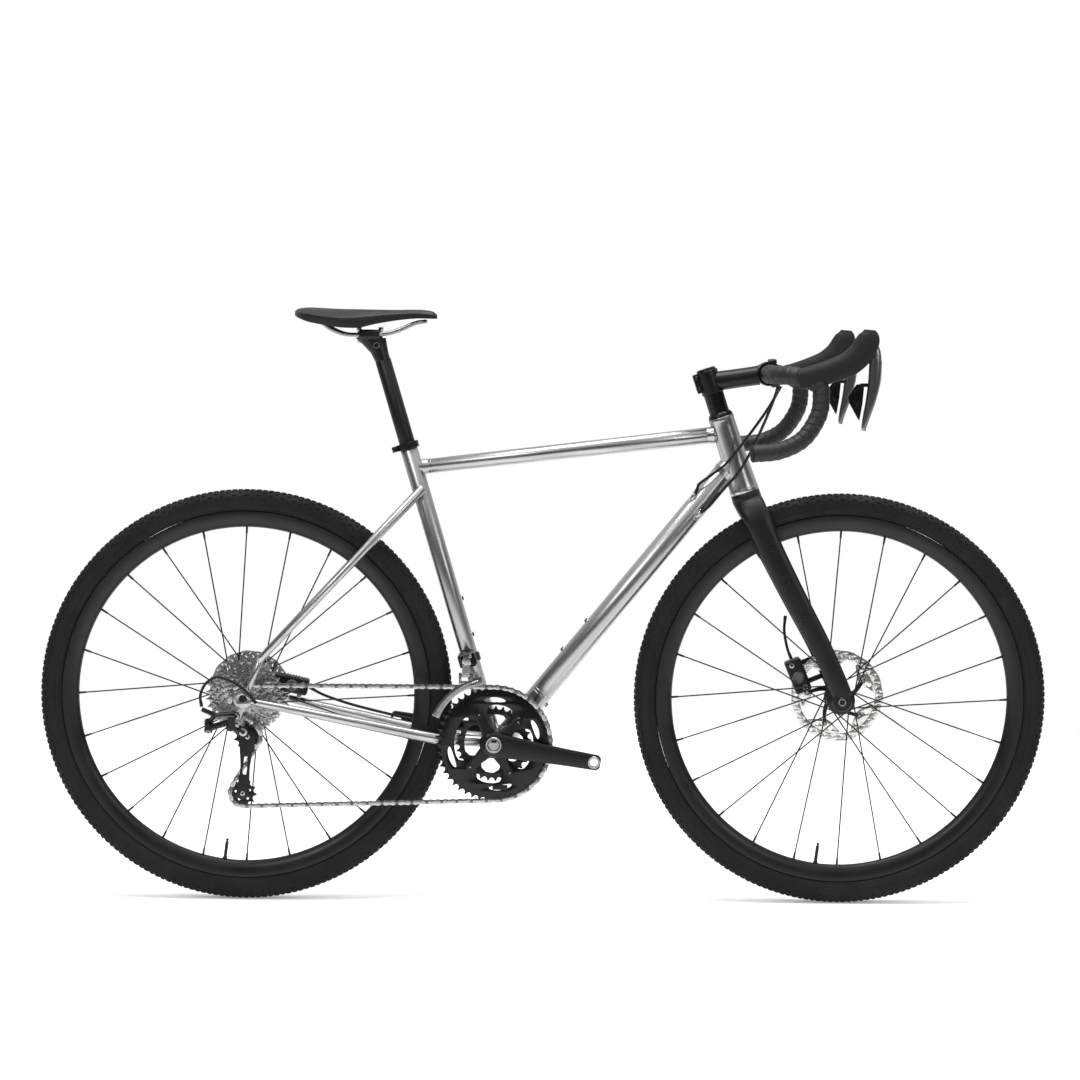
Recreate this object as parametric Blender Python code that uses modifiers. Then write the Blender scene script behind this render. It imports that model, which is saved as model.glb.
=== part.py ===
"""Gravel bike with drop bars, disc brakes and an eleven-speed double drivetrain.

Metres, +Z up, +X towards the front wheel. The origin is the centre of the bottom bracket.
The drive side is -Y, so "right" pieces have negative Y.
"""
import math

import bmesh
import bpy
from mathutils import Matrix, Vector

# Running clearance between pieces that touch, and the distance under which points are one
GAP = 0.0003
WELD = 0.000002

# Frame geometry
STACK = 0.5575
REACH = 0.3829
HEAD_ANGLE = math.radians(71.7)
HEAD_TUBE_LENGTH = 0.1346
SEAT_ANGLE = math.radians(73.4)
SEAT_TUBE_LENGTH = 0.530
CHAINSTAY_LENGTH = 0.4318
BB_DROP = 0.0765
BB_SHELL_WIDTH = 0.068
REAR_SPACING = 0.142
FRONT_SPACING = 0.100
TOP_TUBE_DROP = 0.0425
TOP_TUBE_HEAD_DISTANCE = 0.0295
DOWN_TUBE_HEAD_DISTANCE = 0.0775
DOWN_TUBE_BB_OFFSET = 0.0096

# Tube sizes
HEAD_TUBE_TOP_RADIUS = 0.0215
HEAD_TUBE_BOTTOM_RADIUS = 0.0250
SEAT_TUBE_RADIUS = 0.0148
TOP_TUBE_SEAT_RADIUS = 0.0125
TOP_TUBE_HEAD_RADIUS = 0.0142
DOWN_TUBE_RADIUS = 0.0190
BB_SHELL_RADIUS = 0.0205
SEATSTAY_RADIUS = 0.0080
CHAINSTAY_RADIUS = 0.0100
STAY_TIP_RADIUS = 0.0058
DROPOUT_RADIUS = 0.0175
DROPOUT_THICKNESS = 0.0070
SEATSTAY_TOP_SPREAD = 0.0175
SEATSTAY_DROP = 0.0820
YOKE_LENGTH = 0.1010
YOKE_SPREAD = 0.0360
BOSS_RADIUS = 0.0050
BOSS_HEIGHT = 0.0020
BOTTLE_BOSS_SPACING = 0.0640
DOWN_TUBE_BOSS_DISTANCE = 0.1960
SEAT_TUBE_BOSS_DISTANCE = 0.1860
LOWER_BOSS_DISTANCE = 0.1040
CABLE_PORT_LENGTH = 0.0060
CABLE_PORTS = (
    # distance up the down tube, distance over the tube's middle plane
    (0.5400, 0.0150),
    (0.5220, -0.0107),
)
STAY_BRIDGE_SHARE = 0.11
STAY_BEND = Vector((0.0220, 0.0008, 0.0560))
HEADSET_POCKET = 0.0073
BEARING_RADIUS = 0.0198
SEATPOST_INSERT = 0.0960
SEATPOST_TRAVEL = 0.0300
BB_WALL = 0.0035
CHAINSTAY_POST_Y = 0.0672
HANGER_DROP = 0.0290
HANGER_SETBACK = 0.0110

# Wheels
TYRE_RADIUS = 0.3520
TYRE_WIDTH = 0.0410
TYRE_HEIGHT = 0.0370
RIM_DEPTH = 0.0280
RIM_WIDTH = 0.0260
SPOKE_COUNT = 24
SPOKE_RADIUS = 0.0010
SPOKE_HUB_RADIUS = 0.0210
AXLE_RADIUS = 0.0060
HUB_FLANGE_RADIUS = 0.0240
HUB_STEPS = 8
FRONT_FLANGES = (-0.0330, 0.0230)
REAR_FLANGES = (-0.0150, 0.0330)
ROTOR_SEAT_RADIUS = 0.0140
ROTOR_BORE_SIDES = 8
FRONT_ROTOR_RADIUS = 0.0800
REAR_ROTOR_RADIUS = 0.0700
ROTOR_THICKNESS = 0.0018
FRONT_ROTOR_INSET = 0.0105
REAR_ROTOR_INSET = 0.0155
WHEEL_SEGMENTS = 30

# Fork
FORK_LENGTH = 0.3844
FORK_RAKE = 0.0465
STEERER_RADIUS = 0.0143
CROWN_RADIUS = 0.0250
FORK_EYE_RADIUS = 0.0170
CARGO_BOSS_SHARES = (0.265, 0.430, 0.595)
BLADE_POST_Y = 0.0518
BLADE_SECTIONS = (
    # share of the fork length, share of the rake, spread, half chord, half thickness
    (0.030, 0.00, 0.0060, 0.0250, 0.0120),
    (0.062, 0.04, 0.0230, 0.0245, 0.0120),
    (0.130, 0.12, 0.0355, 0.0228, 0.0098),
    (0.270, 0.24, 0.0405, 0.0212, 0.0085),
    (0.510, 0.55, 0.0455, 0.0196, 0.0075),
    (0.730, 0.87, 0.0500, 0.0180, 0.0065),
    (0.945, 1.08, 0.0535, 0.0165, 0.0045),
    (0.985, 1.04, 0.0533, 0.0150, 0.0030),
)

# Cockpit
STEM_LENGTH = 0.1010
STEM_ANGLE = math.radians(8.6)
STEM_CLAMP_HEIGHT = 0.0400
STEM_STACK = 0.0423
STEM_RADIUS = 0.0165
STEM_CLAMP_RADIUS = 0.0190
HEADSET_COVER_HEIGHT = 0.0080
SPACER_RADIUS = 0.0172
BAR_CLAMP_WALL = 0.0049
BAR_CLAMP_WIDTH = 0.0440
FACEPLATE_SLOT = 0.0012
BAR_CLAMP_RADIUS = 0.0159
BAR_RADIUS = 0.0120
BAR_REACH = 0.0720
BAR_DROP = 0.1280
BAR_HOOD_HALF_WIDTH = 0.2030
BAR_END_HALF_WIDTH = 0.2340
TAPE_THICKNESS = 0.0030
TAPE_START = 0.0620
BAR_ROWS = (
    # share of the reach, share of the drop, share from the hood's half width to the end's
    (0.10, 0.002, -0.90),
    (0.44, 0.012, -0.18),
    (0.93, 0.120, 0.10),
    (1.00, 0.290, 0.26),
    (0.92, 0.530, 0.44),
    (0.58, 0.810, 0.70),
    (0.05, 0.960, 0.88),
    (-0.55, 1.000, 1.00),
)
HOOD_SECTIONS = (
    # ahead of the bar centre, above it, half height, half width
    (0.034, -0.006, 0.0165, 0.0165),
    (0.062, 0.000, 0.0185, 0.0175),
    (0.089, 0.012, 0.0195, 0.0170),
    (0.113, 0.031, 0.0195, 0.0160),
    (0.129, 0.053, 0.0170, 0.0150),
    (0.138, 0.071, 0.0120, 0.0125),
    (0.142, 0.083, 0.0055, 0.0075),
)
LEVER_PIVOT = (0.1440, 0.0530)
LEVER_SECTIONS = (
    (0.1400, 0.0590, 0.0050, 0.0046),
    (0.1500, 0.0400, 0.0085, 0.0046),
    (0.1545, 0.0180, 0.0105, 0.0070),
    (0.1545, -0.0120, 0.0095, 0.0075),
    (0.1500, -0.0420, 0.0075, 0.0072),
    (0.1435, -0.0680, 0.0055, 0.0065),
    (0.1395, -0.0840, 0.0030, 0.0045),
)
PADDLE_SECTIONS = (
    (0.1370, 0.0080, 0.0035, 0.0030),
    (0.1370, 0.0020, 0.0045, 0.0031),
    (0.1310, -0.0080, 0.0075, 0.0032),
    (0.1260, -0.0260, 0.0085, 0.0032),
    (0.1210, -0.0460, 0.0060, 0.0028),
)
PADDLE_PIN_HALF = 0.0030
PADDLE_EAR = 0.0030
HOSE_RADIUS = 0.0025
CALIPER_LENGTH = 0.0600
CALIPER_WIDTH = 0.0290
CALIPER_HEIGHT = 0.0290
CALIPER_POST = 0.0085
CALIPER_POST_SPACING = 0.0340
FRONT_CALIPER_PLACE = (0.3300, -0.0070)
FRONT_CALIPER_LEAN = math.radians(4.0)
FRONT_CALIPER_REACH = 0.0310
REAR_CALIPER_PLACE = Vector((0.0720, 0, 0.0120))
REAR_CALIPER_LEAN = math.radians(-11.8)
REAR_CALIPER_REACH = 0.0125

# Seat
SEATPOST_RADIUS = 0.0136
SADDLE_LENGTH = 0.2410
SADDLE_WIDTH = 0.1430
SADDLE_RISE = 0.0430
SADDLE_TAIL_X = -0.3430
RAIL_RADIUS = 0.0035
RAIL_HEIGHT = 0.6960
RAIL_SPREAD = 0.0220
RAIL_CLAMP_X = -0.2160
RAIL_SIDE = (
    # x, distance from the middle plane, height over the clamped part
    (-0.3000, 0.0340, 0.0210),
    (-0.2830, 0.0320, 0.0080),
    (-0.2620, 0.0260, -0.0010),
    (-0.2400, RAIL_SPREAD, -0.0030),
    (-0.1900, RAIL_SPREAD, -0.0010),
    (-0.1650, 0.0190, 0.0060),
    (-0.1400, 0.0120, 0.0170),
    (-0.1240, 0.0050, 0.0200),
)
SADDLE_SECTIONS = (
    # share of the length, share of the half width, top below the highest point, crown drop, skirt depth
    (0.000, 0.22, 0.006, 0.003, 0.005),
    (0.030, 0.64, 0.002, 0.007, 0.009),
    (0.110, 0.94, 0.000, 0.012, 0.013),
    (0.220, 1.00, 0.001, 0.015, 0.014),
    (0.330, 0.90, 0.002, 0.016, 0.016),
    (0.440, 0.67, 0.002, 0.015, 0.017),
    (0.550, 0.46, 0.002, 0.012, 0.014),
    (0.690, 0.34, 0.002, 0.009, 0.011),
    (0.840, 0.27, 0.002, 0.007, 0.009),
    (0.960, 0.21, 0.005, 0.006, 0.007),
    (1.000, 0.10, 0.011, 0.003, 0.004),
)
SEATPOST_HEAD = (
    # height under the rails, shift to the rear, half length, half width
    (0.052, 0.000, 0.0135, 0.0135),
    (0.034, 0.002, 0.0155, 0.0138),
    (0.020, 0.006, 0.0210, 0.0140),
    (0.008, 0.010, 0.0270, 0.0150),
)

# Drivetrain
CHAIN_PITCH = 0.0127
RING_TEETH = 48
SMALL_RING_TEETH = 31
RING_LINE = -0.0500
SMALL_RING_LINE = -0.0440
CASSETTE_TEETH = (11, 12, 13, 14, 16, 18, 20, 22, 25, 28, 32)
SPROCKET_PITCH = 0.00374
SPROCKET_LINE = -0.0665
PULLEY_TEETH = 11
SPROCKET_THICKNESS = 0.0016
TOOTH_THICKNESS = 0.0015
CRANK_LENGTH = 0.1725
CRANK_ANGLE = math.radians(-9.2)
PEDAL_FACE = 0.0755
PEDAL_BOSS_RADIUS = 0.0105
PEDAL_BOSS_HEIGHT = 0.0008
PEDAL_BORE_RADIUS = 0.0072
SPINDLE_RADIUS = 0.0120
GUIDE_OFFSET = (0.0080, -0.0646)
CAGE_LENGTH = 0.0970
CAGE_ANGLE = math.radians(-99.5)

# Derailleurs
LINK_SPAN = Vector((0.0400, -0.0187, 0.0140))
LINK_BARREL_HALF = 0.0065
KNUCKLE_BARREL_END = 0.0155
KNUCKLE_BOSS_WIDTH = 0.0150
HANGER_EYE_WIDTH = 0.0033
HANGER_EYE_RADIUS = 0.0072
CAGE_PIVOT_OFFSET = Vector((-0.0060, 0, 0.0100))
HOUSING_STOP_OFFSET = Vector((-0.0110, -0.0060, 0.0330))
CAGE_GAP_HALF = 0.0050
CAGE_PLATE = 0.0015
PULLEY_AXLE_RADIUS = 0.0025
FRONT_LINK_TOP = Vector((-0.0480, -0.0480, 0.1415))
FRONT_LINK_LENGTH = 0.0240
FRONT_LINK_WIDTH = 0.0140
FRONT_PIN_RADIUS = 0.0020
FRONT_PIN_BORE = FRONT_PIN_RADIUS + GAP
FRONT_CAGE_INNER_RADIUS = 0.1030
FRONT_CAGE_HEIGHT = 0.0170
FRONT_CAGE_PLATE = 0.0010
FRONT_CAGE_INSIDE = 0.0040
FRONT_CAGE_OUTSIDE = 0.0062

# Chain rollers and plates, and the gullets that seat them
LINK_HALF_WIDTH = 0.00265
ROLLER_HALF_HEIGHT = 0.0040
ROLLER_HALF_LENGTH = 0.0028
PLATE_HALF_HEIGHT = 0.0040
OUTER_PLATE = (0.00185, 0.00265)
INNER_PLATE = (0.00105, 0.00180)
GULLET_DEPTH = ROLLER_HALF_HEIGHT + 2 * GAP
GULLET_HALF = 0.0033
TOOTH_HEIGHT = 0.0032
STRAIGHT_LEAD = 2.0
SPIDER_ANGLES = (math.radians(51.5), math.radians(126), math.radians(-51.5), math.radians(-126))
BOLT_CIRCLE_RADIUS = 0.0550
INNER_BOLT_CIRCLE_RADIUS = 0.0400
RING_INNER_RADIUS = 0.0680
SMALL_RING_INNER_RADIUS = 0.0475
CARRIER_RADIUS = 0.0174

RIM_OUTER_RADIUS = TYRE_RADIUS - TYRE_HEIGHT
RIM_INNER_RADIUS = RIM_OUTER_RADIUS - RIM_DEPTH
REAR_AXLE = Vector((-math.sqrt(CHAINSTAY_LENGTH**2 - BB_DROP**2), 0, BB_DROP))
HEAD_TOP = Vector((REACH, 0, STACK))
HEAD_UP = Vector((-math.cos(HEAD_ANGLE), 0, math.sin(HEAD_ANGLE)))
HEAD_FORWARD = Vector((math.sin(HEAD_ANGLE), 0, math.cos(HEAD_ANGLE)))
HEAD_BOTTOM = HEAD_TOP - HEAD_UP * HEAD_TUBE_LENGTH
SEAT_UP = Vector((-math.cos(SEAT_ANGLE), 0, math.sin(SEAT_ANGLE)))
SEAT_TOP = SEAT_UP * SEAT_TUBE_LENGTH
CROWN_SEAT = HEAD_BOTTOM - HEAD_UP * 0.003
FRONT_AXLE = CROWN_SEAT - HEAD_UP * FORK_LENGTH + HEAD_FORWARD * FORK_RAKE
SIDEWAYS = Vector((0, 1, 0))
RIGHT, LEFT = -1, 1


def clear_scene():
    for thing in list(bpy.data.objects):
        bpy.data.objects.remove(thing, do_unlink=True)


def new_collection(name):
    collection = bpy.data.collections.new(name)
    bpy.context.scene.collection.children.link(collection)
    return collection


def make_material(name, colour, roughness, metallic):
    material = bpy.data.materials.new(name)
    material.use_nodes = True
    shader = material.node_tree.nodes["Principled BSDF"]
    shader.inputs["Base Color"].default_value = (*colour, 1)
    shader.inputs["Roughness"].default_value = roughness
    shader.inputs["Metallic"].default_value = metallic
    material.diffuse_color = (*colour, 1)
    return material


clear_scene()
PARTS = new_collection("gravel_bike")

STEEL = make_material("brushed stainless steel", (0.62, 0.61, 0.59), 0.28, 1.0)
SILVER = make_material("bright steel", (0.55, 0.55, 0.55), 0.30, 1.0)
DARK_ALLOY = make_material("black anodised alloy", (0.018, 0.018, 0.019), 0.38, 0.6)
GREY_ALLOY = make_material("grey alloy", (0.16, 0.16, 0.17), 0.30, 0.9)
CARBON = make_material("matte black carbon", (0.016, 0.016, 0.017), 0.50, 0.0)
RUBBER = make_material("black rubber", (0.020, 0.020, 0.020), 0.85, 0.0)
TAPE = make_material("black bar tape", (0.022, 0.022, 0.023), 0.80, 0.0)
LEATHER = make_material("black saddle cover", (0.025, 0.025, 0.027), 0.55, 0.0)


def mesh_object(bm, name="shape"):
    """Links a bmesh as an object with its faces pointing out."""
    bmesh.ops.remove_doubles(bm, verts=bm.verts, dist=1e-6)
    bmesh.ops.recalc_face_normals(bm, faces=bm.faces)
    mesh = bpy.data.meshes.new(name)
    bm.to_mesh(mesh)
    bm.free()
    shape = bpy.data.objects.new(name, mesh)
    PARTS.objects.link(shape)
    return shape


def evaluated_mesh(shape):
    depsgraph = bpy.context.evaluated_depsgraph_get()
    return bpy.data.meshes.new_from_object(shape.evaluated_get(depsgraph))


def frozen(shape):
    """The object as a plain mesh object in world space, with its modifiers applied."""
    mesh = evaluated_mesh(shape)
    mesh.transform(shape.matrix_world)
    bm = bmesh.new()
    bm.from_mesh(mesh)
    bpy.data.meshes.remove(mesh)
    bpy.data.objects.remove(shape, do_unlink=True)
    return mesh_object(bm)


def combine(base, tools, operation):
    for tool in tools:
        modifier = base.modifiers.new("combine", "BOOLEAN")
        modifier.operation = operation
        modifier.object = tool
    mesh = evaluated_mesh(base)
    bm = bmesh.new()
    bm.from_mesh(mesh)
    bmesh.ops.remove_doubles(bm, verts=bm.verts, dist=WELD)
    bmesh.ops.dissolve_degenerate(bm, edges=bm.edges, dist=WELD)
    bm.to_mesh(mesh)
    bm.free()
    base.modifiers.clear()
    base.data = mesh
    for tool in tools:
        bpy.data.objects.remove(tool, do_unlink=True)
    return base


def fuse(base, *tools):
    return combine(base, tools, "UNION")


def cut(base, *tools):
    return combine(base, tools, "DIFFERENCE")


def together(shapes):
    """Several apart shapes as one mesh, for one Boolean."""
    bm = bmesh.new()
    for shape in shapes:
        bm.from_mesh(shape.data)
        bpy.data.objects.remove(shape, do_unlink=True)
    return mesh_object(bm)


def turn_to(direction):
    return direction.to_track_quat("Z", "Y").to_matrix().to_4x4()


def rod(start, end, radius, end_radius=None, sides=16):
    """A cylinder or cone between two points."""
    along = end - start
    bm = bmesh.new()
    bmesh.ops.create_cone(
        bm,
        cap_ends=True,
        segments=sides,
        radius1=radius,
        radius2=radius if end_radius is None else end_radius,
        depth=along.length,
        matrix=Matrix.Translation((start + end) / 2) @ turn_to(along),
    )
    return mesh_object(bm)


def cross_rod(centre, radius, width, sides=16):
    """A cylinder along Y."""
    half = SIDEWAYS * width / 2
    return rod(centre - half, centre + half, radius, sides=sides)


def turning_bore(radius, sides):
    """The corner radius of a faceted hole in which a shaft of a radius can turn."""
    return (radius + GAP) / math.cos(math.pi / sides)


def block(centre, size, angle=0.0):
    """A box, turned about Y by an angle that lifts its front."""
    bm = bmesh.new()
    turn = Matrix.Rotation(-angle, 4, "Y")
    stretch = Matrix.Diagonal((*size, 1))
    bmesh.ops.create_cube(bm, size=1, matrix=Matrix.Translation(centre) @ turn @ stretch)
    return mesh_object(bm)


def rounded(shape, width):
    """The shape with its edges bevelled."""
    bevel = shape.modifiers.new("rounded edges", "BEVEL")
    bevel.width = width
    bevel.segments = 1
    return frozen(shape)


def plate(outlines, y, thickness):
    """A flat outline in the XZ plane, with holes, as a solid of a thickness along Y."""
    curve = bpy.data.curves.new("outline", "CURVE")
    curve.dimensions = "2D"
    curve.fill_mode = "BOTH"
    curve.extrude = thickness / 2
    for outline in outlines:
        spline = curve.splines.new("POLY")
        spline.points.add(len(outline) - 1)
        for point, (x, z) in zip(spline.points, outline):
            point.co = (x, z, 0, 1)
        spline.use_cyclic_u = True
    shape = bpy.data.objects.new("outline", curve)
    PARTS.objects.link(shape)
    shape.matrix_world = Matrix.Translation((0, y, 0)) @ Matrix.Rotation(math.pi / 2, 4, "X")
    bpy.context.view_layer.update()
    return frozen(shape)


def ring_of(count, radius, centre=(0.0, 0.0), phase=0.0):
    """Points round a circle in the XZ plane."""
    return [
        (
            centre[0] + radius * math.cos(phase + 2 * math.pi * i / count),
            centre[1] + radius * math.sin(phase + 2 * math.pi * i / count),
        )
        for i in range(count)
    ]


def smooth_path(points, spacing):
    """A Catmull-Rom curve through the points, sampled about every spacing."""
    ends = [points[0] * 2 - points[1], *points, points[-1] * 2 - points[-2]]
    path = []
    for before, start, end, after in zip(ends, ends[1:], ends[2:], ends[3:]):
        steps = max(1, round((end - start).length / spacing))
        for i in range(steps):
            t = i / steps
            path.append(
                0.5
                * (
                    2 * start
                    + (end - before) * t
                    + (2 * before - 5 * start + 4 * end - after) * t**2
                    + (3 * start - before - 3 * end + after) * t**3
                )
            )
    return [*path, points[-1]]


def pipe(points, radii, resolution=2, caps=True):
    """A round wire or tube along points, with one radius or a radius at each point."""
    if not isinstance(radii, (list, tuple)):
        radii = [radii] * len(points)
    curve = bpy.data.curves.new("pipe", "CURVE")
    curve.dimensions = "3D"
    curve.bevel_depth = 1.0
    curve.bevel_resolution = resolution
    curve.use_fill_caps = caps
    spline = curve.splines.new("POLY")
    spline.points.add(len(points) - 1)
    for point, place, radius in zip(spline.points, points, radii):
        point.co = (*place, 1)
        point.radius = radius
    shape = bpy.data.objects.new("pipe", curve)
    PARTS.objects.link(shape)
    return frozen(shape)


def turned(profile, centre, steps=WHEEL_SEGMENTS):
    """A closed profile of (radius, y) points, turned about the Y axis through a centre."""
    bm = bmesh.new()
    corners = [bm.verts.new((radius, 0, y)) for radius, y in profile]
    for corner, following in zip(corners, corners[1:] + corners[:1]):
        bm.edges.new((corner, following))
    mesh = bpy.data.meshes.new("profile")
    bm.to_mesh(mesh)
    bm.free()
    shape = bpy.data.objects.new("profile", mesh)
    PARTS.objects.link(shape)
    screw = shape.modifiers.new("turn", "SCREW")
    screw.steps = screw.render_steps = steps
    screw.use_merge_vertices = True
    screw.merge_threshold = 1e-5
    shape.matrix_world = Matrix.Translation(centre) @ Matrix.Rotation(-math.pi / 2, 4, "X")
    bpy.context.view_layer.update()
    return frozen(shape)


def skin(rings):
    """A closed loft through rings that have the same number of points."""
    bm = bmesh.new()
    rows = [[bm.verts.new(point) for point in ring] for ring in rings]
    for near, far in zip(rows, rows[1:]):
        for i in range(len(near)):
            j = (i + 1) % len(near)
            bm.faces.new((near[i], near[j], far[j], far[i]))
    bm.faces.new(rows[0][::-1])
    bm.faces.new(rows[-1])
    bmesh.ops.triangulate(bm, faces=bm.faces[:], quad_method="SHORT_EDGE")
    return mesh_object(bm)


def oval(centre, across, along, sides=10, power=1.0):
    """A ring round a centre in the plane of two half-axis vectors; power under 1 squares it."""
    points = []
    for i in range(sides):
        angle = 2 * math.pi * (i + 0.5) / sides
        c, s = math.cos(angle), math.sin(angle)
        points.append(
            centre
            + across * math.copysign(abs(c) ** power, c)
            + along * math.copysign(abs(s) ** power, s)
        )
    return points


def finish(shape, name, material, pivot=None, sharp=40):
    """Names a piece, gives it its material and hangs it on its joint's empty."""
    shape.name = name
    shape.data.name = name
    shape.data.materials.clear()
    shape.data.materials.append(material)
    shape.data.shade_smooth()
    shape.data.set_sharp_from_angle(angle=math.radians(sharp))
    if pivot is not None:
        shape.parent = pivot
        shape.matrix_parent_inverse = pivot.matrix_world.inverted()
    return shape


def make_pivot(name, place, direction, parent=None):
    """An empty on a joint's axis, its Z along the axis."""
    pivot = bpy.data.objects.new(name, None)
    pivot.empty_display_size = 0.02
    PARTS.objects.link(pivot)
    pivot.matrix_world = Matrix.Translation(place) @ turn_to(direction)
    bpy.context.view_layer.update()
    if parent is not None:
        world = pivot.matrix_world.copy()
        pivot.parent = parent
        pivot.matrix_parent_inverse = parent.matrix_world.inverted()
        pivot.matrix_world = world
        bpy.context.view_layer.update()
    return pivot


def head_axis_point(height):
    return HEAD_TOP + HEAD_UP * height


def seat_axis_point(distance):
    return SEAT_UP * distance


# Chain path

def pitch_radius(teeth):
    return CHAIN_PITCH / (2 * math.sin(math.pi / teeth))


class Wrap:
    """One toothed wheel that the chain goes round; sense is 1 for clockwise from the drive side."""

    def __init__(self, x, z, teeth, sense, line):
        self.centre = Vector((x, z))
        self.teeth = teeth
        self.radius = pitch_radius(teeth)
        self.sense = sense
        self.line = line
        self.arrive = self.leave = 0.0


def tangent_angle(start, end):
    across = end.centre - start.centre
    lean = (end.sense * end.radius - start.sense * start.radius) / across.length
    return math.atan2(across.y, across.x) + math.asin(lean)


def tangent_point(wheel, angle):
    side = Vector((math.sin(angle), -math.cos(angle)))
    return wheel.centre - side * wheel.sense * wheel.radius


def guide_centre():
    return REAR_AXLE.x + GUIDE_OFFSET[0], REAR_AXLE.z + GUIDE_OFFSET[1]


def tension_centre(cage_angle):
    x, z = guide_centre()
    return x + CAGE_LENGTH * math.cos(cage_angle), z + CAGE_LENGTH * math.sin(cage_angle)


def chain_wheels(cage_angle):
    wheels = [
        Wrap(0, 0, RING_TEETH, 1, RING_LINE),
        Wrap(*tension_centre(cage_angle), PULLEY_TEETH, 1, SPROCKET_LINE),
        Wrap(*guide_centre(), PULLEY_TEETH, -1, SPROCKET_LINE),
        Wrap(REAR_AXLE.x, REAR_AXLE.z, CASSETTE_TEETH[0], 1, SPROCKET_LINE),
    ]
    for wheel, following in zip(wheels, wheels[1:] + wheels[:1]):
        wheel.leave = following.arrive = tangent_angle(wheel, following)
    return wheels


def wrapped_angle(wheel):
    return (wheel.sense * (wheel.arrive - wheel.leave)) % (2 * math.pi)


def chain_runs(cage_angle):
    """Each arc and straight of the chain with its length in links."""
    wheels = chain_wheels(cage_angle)
    runs = []
    for wheel, following in zip(wheels, wheels[1:] + wheels[:1]):
        turn = wrapped_angle(wheel)
        runs.append(("arc", wheel, following, turn * wheel.teeth / (2 * math.pi)))
        reach = tangent_point(following, wheel.leave) - tangent_point(wheel, wheel.leave)
        runs.append(("line", wheel, following, reach.length / CHAIN_PITCH))
    return runs


def link_count(cage_angle):
    return sum(run[3] for run in chain_runs(cage_angle))


def settled_cage_angle():
    """The cage angle nearest to the drawn one at which the chain has a whole, even link count."""
    wanted = 2 * round(link_count(CAGE_ANGLE) / 2)
    step = math.radians(0.5)
    spread = 0.0
    while spread < math.radians(60):
        for low in (CAGE_ANGLE + spread, CAGE_ANGLE - spread - step):
            high = low + step
            if (link_count(low) - wanted) * (link_count(high) - wanted) <= 0:
                for _ in range(40):
                    middle = (low + high) / 2
                    if (link_count(low) - wanted) * (link_count(middle) - wanted) <= 0:
                        high = middle
                    else:
                        low = middle
                return (low + high) / 2
        spread += step
    return CAGE_ANGLE


CAGE_SETTLED = settled_cage_angle()


def chain_point(runs, distance):
    """The place of a pin at a distance in links along the chain, and the wheel it sits on."""
    for kind, wheel, following, length in runs:
        if distance > length:
            distance -= length
            continue
        if kind == "arc":
            angle = wheel.arrive - wheel.sense * distance * 2 * math.pi / wheel.teeth
            flat = tangent_point(wheel, angle)
            return Vector((flat.x, wheel.line, flat.y)), wheel
        start = tangent_point(wheel, wheel.leave)
        end = tangent_point(following, wheel.leave)
        share = distance / length
        flat = start.lerp(end, share)
        lead = STRAIGHT_LEAD / length
        drift = min(1.0, max(0.0, (share - lead) / (1 - 2 * lead)))
        line = wheel.line + (following.line - wheel.line) * drift
        return Vector((flat.x, line, flat.y)), None
    return chain_point(runs, 0.0)


def chain_pins():
    runs = chain_runs(CAGE_SETTLED)
    count = round(sum(run[3] for run in runs))
    start = (runs[0][3] % 1) / 2
    return [chain_point(runs, start + i) for i in range(count)]


PINS = chain_pins()


def wheel_phase(x, z, fallback=0.0):
    """The angle of a pin that lies on the toothed wheel centred at x, z."""
    for place, wheel in PINS:
        if wheel is not None and (wheel.centre - Vector((x, z))).length < 1e-6:
            return math.atan2(place.z - z, place.x - x)
    return fallback


def full_teeth(teeth, centre, phase):
    """A toothed outline whose flat gullets seat the chain's rollers between pointed teeth."""
    radius = pitch_radius(teeth)
    half = math.pi / teeth
    points = []
    for i in range(teeth):
        angle = phase + i * 2 * half
        out = Vector((math.cos(angle), math.sin(angle)))
        side = Vector((-out.y, out.x))
        for offset in (-GULLET_HALF, GULLET_HALF):
            points.append(out * (radius - GULLET_DEPTH) + side * offset)
        out = Vector((math.cos(angle + half), math.sin(angle + half)))
        points.append(out * (radius * math.cos(half) + TOOTH_HEIGHT))
    return [(centre[0] + p.x, centre[1] + p.y) for p in points]


def plain_teeth(teeth, centre, phase):
    """A toothed outline with one root and one tip point a tooth."""
    radius = pitch_radius(teeth)
    half = math.pi / teeth
    points = []
    for i in range(teeth):
        for turn, reach in ((0, radius - 0.0034), (half, radius * math.cos(half) + 0.0022)):
            angle = phase + 2 * i * half + turn
            points.append((centre[0] + reach * math.cos(angle), centre[1] + reach * math.sin(angle)))
    return points


def fork_point(down, forward, side=0.0):
    """A place given by its distance below the crown seat, ahead of the steering axis and sideways."""
    return CROWN_SEAT - HEAD_UP * down + HEAD_FORWARD * forward + SIDEWAYS * side


# Brake calipers, each a place and a lean, with the posts that carry them

FRONT_ROTOR_Y = FRONT_SPACING / 2 - FRONT_ROTOR_INSET
REAR_ROTOR_Y = REAR_SPACING / 2 - REAR_ROTOR_INSET
FRONT_CALIPER = (fork_point(*FRONT_CALIPER_PLACE, FRONT_ROTOR_Y + 0.0010), FRONT_CALIPER_LEAN - HEAD_ANGLE)
REAR_CALIPER = (REAR_AXLE + REAR_CALIPER_PLACE + SIDEWAYS * (REAR_ROTOR_Y + 0.0020), REAR_CALIPER_LEAN)


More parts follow.
